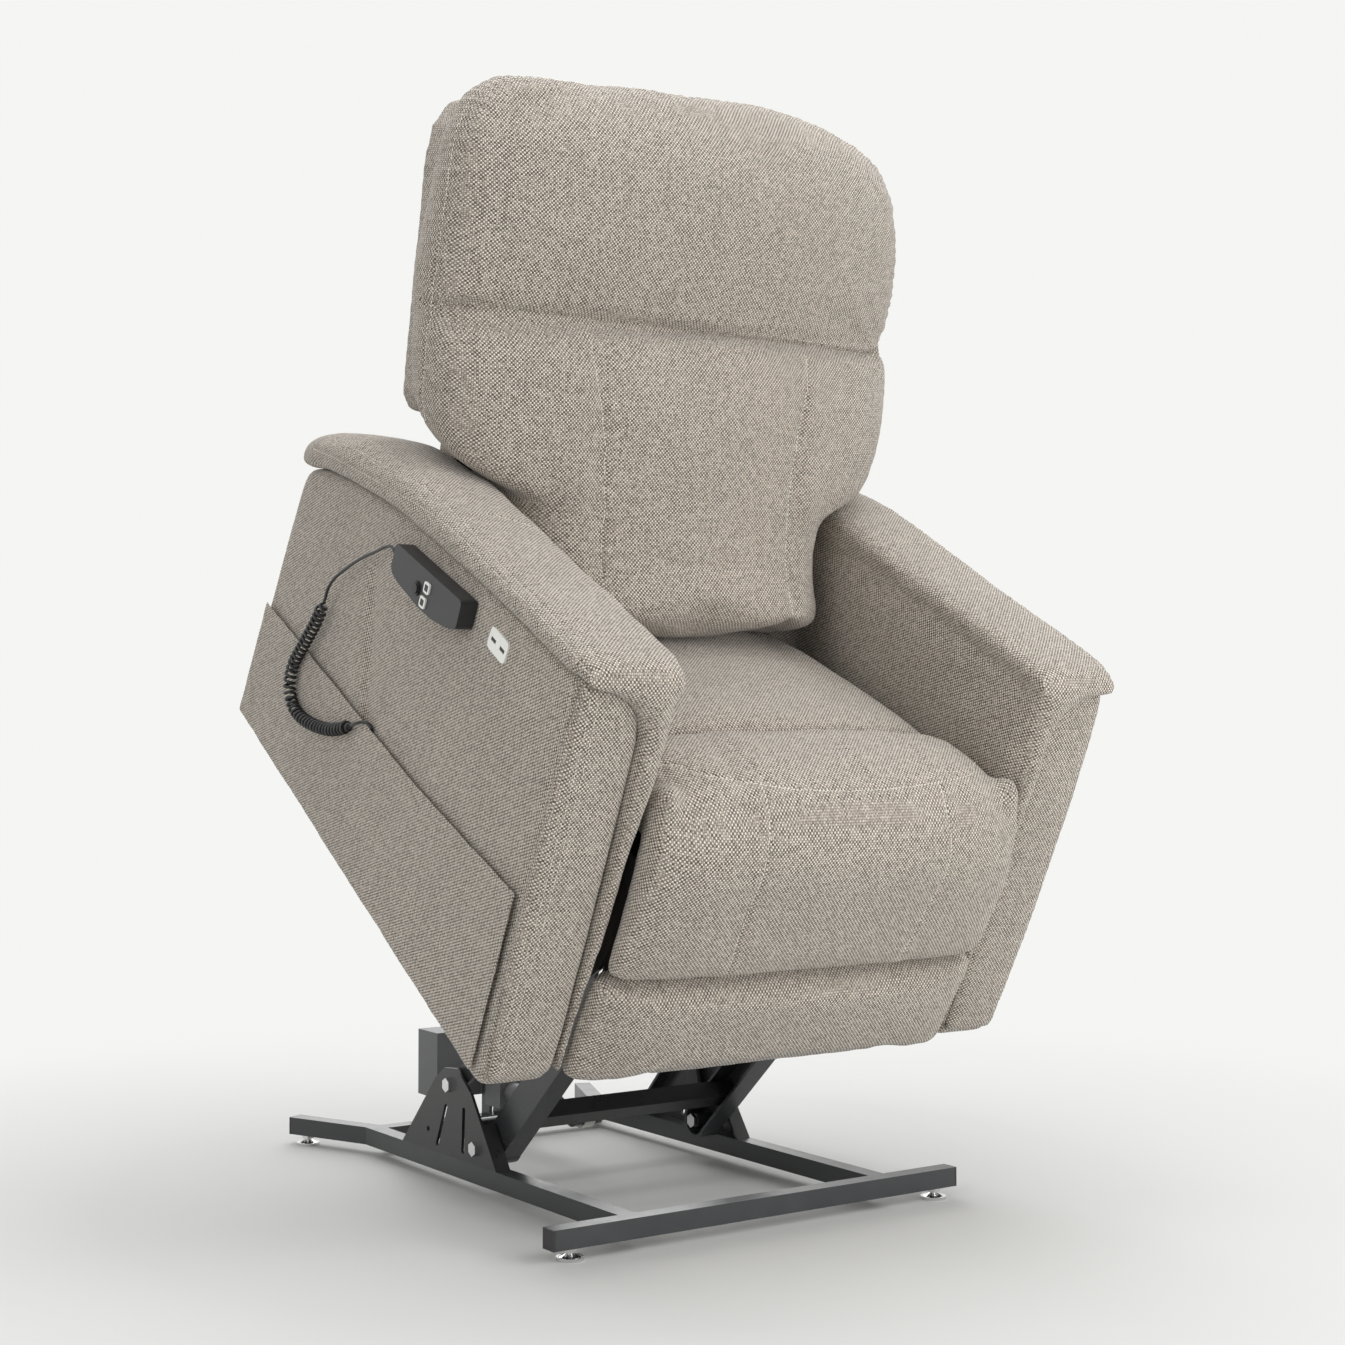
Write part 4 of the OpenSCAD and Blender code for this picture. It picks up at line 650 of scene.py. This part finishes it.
def addCord(s):
    stretch = [p for p, _ in routeLine(s["stretch"], s["straightStep"])]
    points = stretch[:-1] + curledLine(s)
    data = bpy.data.curves.new("handsetCord", "CURVE")
    data.dimensions = "3D"
    spline = data.splines.new("POLY")
    spline.points.add(len(points) - 1)
    for target, point in zip(spline.points, points):
        target.co = (*point, 1)
    data.bevel_depth = s["thick"] / 2 * mm
    data.bevel_resolution = 2
    data.use_fill_caps = True
    cord = bpy.data.objects.new("handsetCord", data)
    collection.objects.link(cord)
    data.materials.append(cordRubber)
    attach(cord, "chair")
    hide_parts("cord_stretch", "cord_coil")
    length = sum((b - a).length for a, b in zip(points, points[1:]))
    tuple(points[0])
    print("cord", round(length, 3))


addCord(cordRoute)


def onSide(side, lines):
    return [[(side * x, *rest) for x, *rest in line] for line in lines]


def mirrored(lines):
    return onSide(-1, lines) + onSide(1, lines)


def mirroredChains(*runs):
    return sum((chain(run) for run in mirrored(runs)), [])


# cushions, each with its seams in its own frame and blobs that fill out its corners
seatCushion = {
    "nodes": ["seat_cushion"], "name": "seatCushion", "body": "chair", "voxel": 7, "cap": 12, "seed": 1,
    "hold": lambda co, normal: normal.z < -0.5 or normal.y < -0.8,
    "seams": mirrored([[(172, 310, 345), (172, 400, 360), (172, 500, 378), (172, 600, 395),
                        (172, 684, 405)]]),
    "seamDepth": 0.8, "pucker": 0.5, "wave": 1.6,
}
chaiseBend = ("chair", "leg_rest", onChair(0, 778, 400), onChair(0, 845, 290))
chaisePad = {
    "nodes": ["seat_fold"], "alsoReplaces": ["leg_pad"], "name": "chaisePad", "blend": chaiseBend,
    "voxel": 7, "cap": 6, "smooth": 4, "fill": 0.85, "seed": 2,
    "hold": lambda co, normal: normal.y > 0.6 or normal.z < -0.8,
    "blobs": mirroredChains([(260, 798, 382, 17, 25, 25), (265, 816, 335, 14, 27, 28),
                             (267, 827, 272, 12, 27, 28), (267, 831, 206, 11, 24, 27),
                             (266, 831, 192, 11, 23, 24)]),
    "curve": [(-250, 742, 400), (-229, 749, 404), (-206, 774, 409), (-160, 792, 407), (-84, 809, 407),
              (5, 813, 406), (102, 807, 407), (199, 788, 407), (228, 762, 406), (250, 745, 402)],
    "sides": mirrored([[(135, 801, 408), (135, 829, 392), (138, 848, 371), (142, 866, 335), (141, 866, 284),
                        (137, 864, 225), (132, 861, 176)]]),
    "pleats": [[(-138, 706, 414), (-136, 760, 416), (-126, 799, 409)],
               [(25, 706, 417), (25, 766, 417), (30, 800, 411)],
               [(138, 706, 414), (136, 760, 416), (126, 799, 409)]],
    "seamDepth": 2.2, "pucker": 1.0, "wave": 1.4,
}
chaisePad["stitched"] = [chaisePad["curve"]] + chaisePad["sides"]
chaisePad["seams"] = chaisePad["stitched"] + chaisePad["pleats"]
footPanel = {
    "nodes": ["foot_pad"], "name": "footPanel", "body": "leg_rest", "voxel": 7, "cap": 6, "smooth": 4,
    "seed": 3, "wave": 1.8, "hold": lambda co, normal: normal.y > 0.6,
}
# one padded cover over lumbar and headrest, drawn in along the crease between them
creaseLine = [(-366, 468, 74), (-340, 470, 110), (-280, 471, 146), (-140, 472, 158), (0, 472, 161),
              (140, 472, 158), (280, 471, 146), (340, 470, 110), (366, 468, 74)]
backCushion = {
    "nodes": ["lumbar_cushion", "headrest_cushion"], "name": "backCushion", "body": "back",
    "voxel": 7.5, "cap": 14, "fill": 0.85, "seed": 4,
    "hold": lambda co, normal: normal.z < -0.5 or (co.y > 0.7 and normal.y > 0.6),
    "blobs": chain([(-335, 469, 54, 20, 16, 26), (-300, 470, 76, 20, 16, 26), (-200, 471, 90, 20, 16, 26),
                    (200, 471, 90, 20, 16, 26), (300, 470, 76, 20, 16, 26), (335, 469, 54, 20, 16, 26)])
    + mirroredChains([(330, 505, 66, 26, 26, 40), (330, 560, 72, 30, 30, 50), (328, 620, 72, 32, 32, 52),
                      (320, 670, 68, 32, 32, 50), (302, 706, 62, 32, 32, 46), (272, 727, 56, 32, 30, 42),
                      (230, 737, 54, 32, 26, 40), (160, 742, 52, 32, 24, 38), (0, 744, 52, 32, 24, 38)],
                     [(324, 360, 42, 22, 24, 32), (314, 338, 38, 20, 22, 28)]),
    "sides": mirrored([[(176, 458, 160), (170, 417, 182), (160, 369, 190), (152, 307, 198), (148, 244, 204),
                        (150, 168, 213), (155, 108, 240)]]),
    "gussets": mirrored([[(364, 430, 84), (366, 475, 92), (366, 529, 97), (364, 591, 94), (361, 650, 90),
                          (348, 704, 82), (320, 736, 76), (270, 757, 70), (200, 768, 66), (100, 774, 64),
                          (0, 776, 64)],
                         [(364, 430, 84), (362, 395, 86), (358, 350, 80), (350, 310, 74)]]),
    "pucker": 1.5, "puckerReach": 28, "wave": 1.8, "seamDepth": 3.0, "seamWidth": 3.6,
    "creases": [(creaseLine, 17, 8.5)],
}
backCushion["stitched"] = backCushion["sides"] + backCushion["gussets"]
backCushion["seams"] = [creaseLine] + backCushion["stitched"]
upholster(seatCushion, onChair, chairMatrix)
chaise = upholster(chaisePad, onChair, chairMatrix)
upholster(footPanel, onChair, chairMatrix)
back = upholster(backCushion, onBack, backMatrix)
stitchLines("chaiseStitches", chaise, chaisePad["stitched"], onChair, chaiseBend)
stitchLines("backStitches", back, backCushion["stitched"], onBack, "back")


# seam lines and roll of the arm at +X; the other arm is its mirror image, with one slack crease more
armLines = {
    "top": [[(404, 35, 436), (408, 126, 463), (408, 226, 487), (405, 356, 516), (400, 447, 527),
             (400, 538, 532), (400, 615, 538), (400, 698, 541), (400, 776, 537)],
            [(396, 60, 462), (397, 227, 509), (385, 343, 527), (383, 413, 531), (386, 493, 533),
             (388, 613, 540), (386, 695, 545), (383, 763, 547)],
            [(378, 413, 531), (367, 406, 532), (357, 399, 533), (344, 394, 533), (332, 395, 533),
             (310, 405, 532), (285, 420, 528), (268, 428, 518)]],
    "panel": [[(396, 744, 505), (396, 754, 440), (396, 764, 376), (396, 773, 313), (396, 780, 257),
               (396, 794, 140), (396, 806, 30)]],
    "front": [[(386, 771, 504), (385, 781, 459), (385, 791, 387), (386, 800, 313), (386, 807, 250),
               (388, 817, 145), (390, 824, 40)],
              [(377, 775, 504), (376, 785, 459), (376, 795, 387), (377, 804, 313), (377, 811, 250),
               (379, 821, 145), (381, 828, 40)]],
}
armRoll = [(376, 755, 530, 14, 15, 15), (352, 762, 528, 20, 21, 21), (324, 767, 518, 24, 26, 26),
           (301, 769, 503, 24, 27, 27), (295, 775, 474, 21, 24, 24), (295, 785, 420, 17, 20, 22),
           (297, 796, 330, 12, 16, 19), (298, 812, 200, 9, 12, 16), (300, 822, 110, 6, 9, 14),
           (301, 828, 50, 5, 7, 12)]
slackLine = [(-396, 261, 371), (-396, 287, 320), (-396, 314, 262), (-396, 340, 211)]


def armPieces(side, word):
    # side is -1 on the sitter's right
    seams = {key: onSide(side, lines) for key, lines in armLines.items()}
    # one cover wraps the arm's top, its inner face and the roll round the front panel's opening
    coverSettings = {
        "nodes": ["arm_pad_" + word, "inner_pad_" + word], "name": "armCover" + word.title(), "body": "chair",
        "voxel": 6.5, "smooth": 7, "pin": 5, "cap": 7, "seams": seams["top"], "seamDepth": 1.5, "pucker": 0.7,
        "seed": 6 + side, "wave": 1.4, "rounded": lambda co: -co.y > 0.742 and co.z > 0.425,
        "hold": lambda co, normal: normal.x * side > 0.5 or normal.z < -0.6 or -co.y > 0.74,
        "blobs": chain(onSide(side, [armRoll])[0]),
    }
    panelSettings = {
        "nodes": ["side_panel_" + word], "name": "sidePanel" + word.title(), "body": "chair",
        "voxel": 5, "smooth": 5, "puffed": False, "swell": 0.4, "seams": seams["panel"], "seamDepth": 1.5,
        "pucker": 0.5, "seed": 9 + side, "wave": 0.9, "waveScale": 9.0,
        "creases": [(slackLine, 5, 16)] if side < 0 else [],
    }
    frontSettings = {
        "nodes": ["arm_front_" + word], "name": "armFront" + word.title(), "body": "chair",
        "voxel": 4, "smooth": 4, "puffed": False, "seams": seams["front"], "seamDepth": 0.8, "seamWidth": 2.4,
        "pucker": 0.4, "seed": 12 + side,
    }
    for s, key, stitches in ((coverSettings, "top", "armStitches"), (panelSettings, "panel", "panelStitches"),
                             (frontSettings, "front", "frontStitches")):
        piece = upholster(s, onChair, chairMatrix)
        stitchLines(stitches + word.title(), piece, seams[key], onChair, "chair", quietStitching)


armPieces(-1, "right")
armPieces(1, "left")
outerBack = {
    "nodes": ["outer_back"], "name": "outerBack", "body": "back", "voxel": 4, "smooth": 4, "puffed": False,
    "swell": 1.2, "seed": 21, "wave": 1.5,
}
sidePocket = {
    "nodes": ["side_pocket"], "alsoReplaces": ["pocket_seam"], "name": "sidePocket", "body": "chair",
    "voxel": 3, "smooth": 1, "puffed": False, "seed": 23, "wave": 1.2, "waveScale": 22.0,
}
upholster(outerBack, onBack, backMatrix)
upholster(sidePocket, onChair, chairMatrix)
print("upholstery done")


# below this area, in square metres, a polygon of a box belongs to its rounded edges
smallPolygon = 4e-6


def smallBox(name, middle, size, material, body, turn=0.0, bevel=0.5):
    # a box with rounded edges, placed by its middle in the chair's frame: across, forward, up
    bm = bmesh.new()
    bmesh.ops.create_cube(bm, size=1.0)
    bmesh.ops.scale(bm, vec=[d * mm for d in size], verts=bm.verts)
    bmesh.ops.bevel(bm, geom=bm.edges[:], offset=bevel * mm, offset_type="OFFSET", segments=3, profile=0.5,
                    affect="EDGES", material=-1)
    basis = Matrix.Translation(onChair(*middle)) @ tilt @ Matrix.Rotation(math.radians(turn), 4, "X")
    bmesh.ops.transform(bm, matrix=basis, verts=bm.verts)
    made = meshFrom(bm, name, material)
    for polygon in made.data.polygons:
        polygon.use_smooth = len(polygon.vertices) > 4 or polygon.area < smallPolygon
    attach(made, body)


# dark faces on the charging socket for its two ports, partly the ports' own dark insides and partly painted
# shade of their recesses, and dark centres on the two keys
darkFaces = {
    "socketPortRear": {"at": (-396.8, 574.75, 462), "size": (1.4, 11.4, 4.5), "body": "chair", "turn": 0},
    "socketPortFront": {"at": (-396.8, 597.25, 462), "size": (1.4, 11.4, 4.5), "body": "chair", "turn": 0},
    "upperKeyFace": {"at": (-421.6, 439.5, 452.7), "size": (0.5, 8, 8), "body": "upper_key", "turn": -6.5},
    "lowerKeyFace": {"at": (-421.6, 438.8, 433.0), "size": (0.5, 8, 8), "body": "lower_key", "turn": -6.5},
}
for name, s in darkFaces.items():
    smallBox(name, s["at"], s["size"], blackPlastic, s["body"], s["turn"], 0.2)
# dark board that closes the front of the seat behind the leg rest
smallBox("frontLining", (0, 752, 263.5), (528, 2, 85), fibreBoard, "chair")
print("small faces and lining done")


# floor and lights: the floor's own tone near the chair fades to the studio's between two radii
stageLook = {"radius": 9.0, "near": 0.7, "fade": 0.9, "soft": 0.2, "pale": (0.913, 0.916, 0.895, 1),
             "floor": (0.6, 0.603, 0.592, 1), "rough": 0.9, "specular": 0.1, "world": 0.55}


def addStage(s):
    bm = bmesh.new()
    bmesh.ops.create_circle(bm, cap_ends=True, segments=64, radius=s["radius"])
    t = Tree("paleFloorFinish")
    floor = meshFrom(bm, "paleFloor", t.material)
    far = t.add("ShaderNodeVectorMath", operation="LENGTH")
    t.feed(far.inputs[0], t.place())
    share = t.math("DIVIDE", t.minus(far.outputs["Value"], s["near"]), s["fade"])
    share = t.math("MAXIMUM", t.math("SMOOTH_MIN", share, 1.0, s["soft"]), 0.0)
    glow = t.add("ShaderNodeEmission")
    glow.inputs["Color"].default_value = s["pale"]
    t.shader.inputs["Base Color"].default_value = s["floor"]
    t.shader.inputs["Roughness"].default_value = s["rough"]
    t.shader.inputs["Specular IOR Level"].default_value = s["specular"]
    seen = t.add("ShaderNodeLightPath")
    straight = t.math("MAXIMUM", seen.outputs["Is Camera Ray"], seen.outputs["Is Glossy Ray"])
    blend = t.add("ShaderNodeMixShader")
    t.feed(blend.inputs[0], t.times(share, straight))
    t.links.new(t.shader.outputs[0], blend.inputs[1])
    t.links.new(glow.outputs[0], blend.inputs[2])
    t.links.new(blend.outputs[0], t.nodes["Material Output"].inputs["Surface"])


lamps = {
    "key": {"place": (1.6, -2.8, 2.6), "aim": (0, 0, 0.8), "size": 2.4, "power": 50},
    "front": {"place": (0.7, -2.8, 0.5), "aim": (0, 0, 0.6), "size": 0.9, "power": 24},
    "side": {"place": (-3.0, -1.2, 1.6), "aim": (0, 0, 0.7), "size": 2.4, "power": 25},
    "top": {"place": (0.2, 0.4, 3.4), "aim": (0, 0, 0.5), "size": 3.0, "power": 70},
    "rear": {"place": (1.2, 2.8, 1.8), "aim": (0, 0, 0.8), "size": 2.0, "power": 35},
}


def addLights():
    for name, s in lamps.items():
        data = bpy.data.lights.new(name + "Lamp", "AREA")
        data.shape = "SQUARE"
        data.size = s["size"]
        data.energy = s["power"]
        lamp = bpy.data.objects.new(name + "Lamp", data)
        lamp.location = s["place"]
        lamp.rotation_euler = (Vector(s["aim"]) - Vector(s["place"])).to_track_quat("-Z", "Y").to_euler()
        collection.objects.link(lamp)


def addWorld(s):
    # white soft light on the chair, and a pale studio for the camera and in reflections
    world = bpy.data.worlds.new("studio")
    world.use_nodes = True
    bpy.context.scene.world = world
    nodes, links = world.node_tree.nodes, world.node_tree.links
    soft = nodes["Background"]
    soft.inputs["Color"].default_value = (1, 1, 1, 1)
    soft.inputs["Strength"].default_value = s["world"]
    pale = nodes.new("ShaderNodeBackground")
    pale.inputs["Color"].default_value = s["pale"]
    seen = nodes.new("ShaderNodeLightPath")
    pick = nodes.new("ShaderNodeMixShader")
    straight = nodes.new("ShaderNodeMath")
    straight.operation = "MAXIMUM"
    links.new(seen.outputs["Is Camera Ray"], straight.inputs[0])
    links.new(seen.outputs["Is Glossy Ray"], straight.inputs[1])
    links.new(straight.outputs[0], pick.inputs[0])
    links.new(soft.outputs[0], pick.inputs[1])
    links.new(pale.outputs[0], pick.inputs[2])
    links.new(pick.outputs[0], nodes["World Output"].inputs["Surface"])


addStage(stageLook)
addLights()
addWorld(stageLook)
bpy.context.scene.view_settings.view_transform = "Standard"
print("stage and lights done")
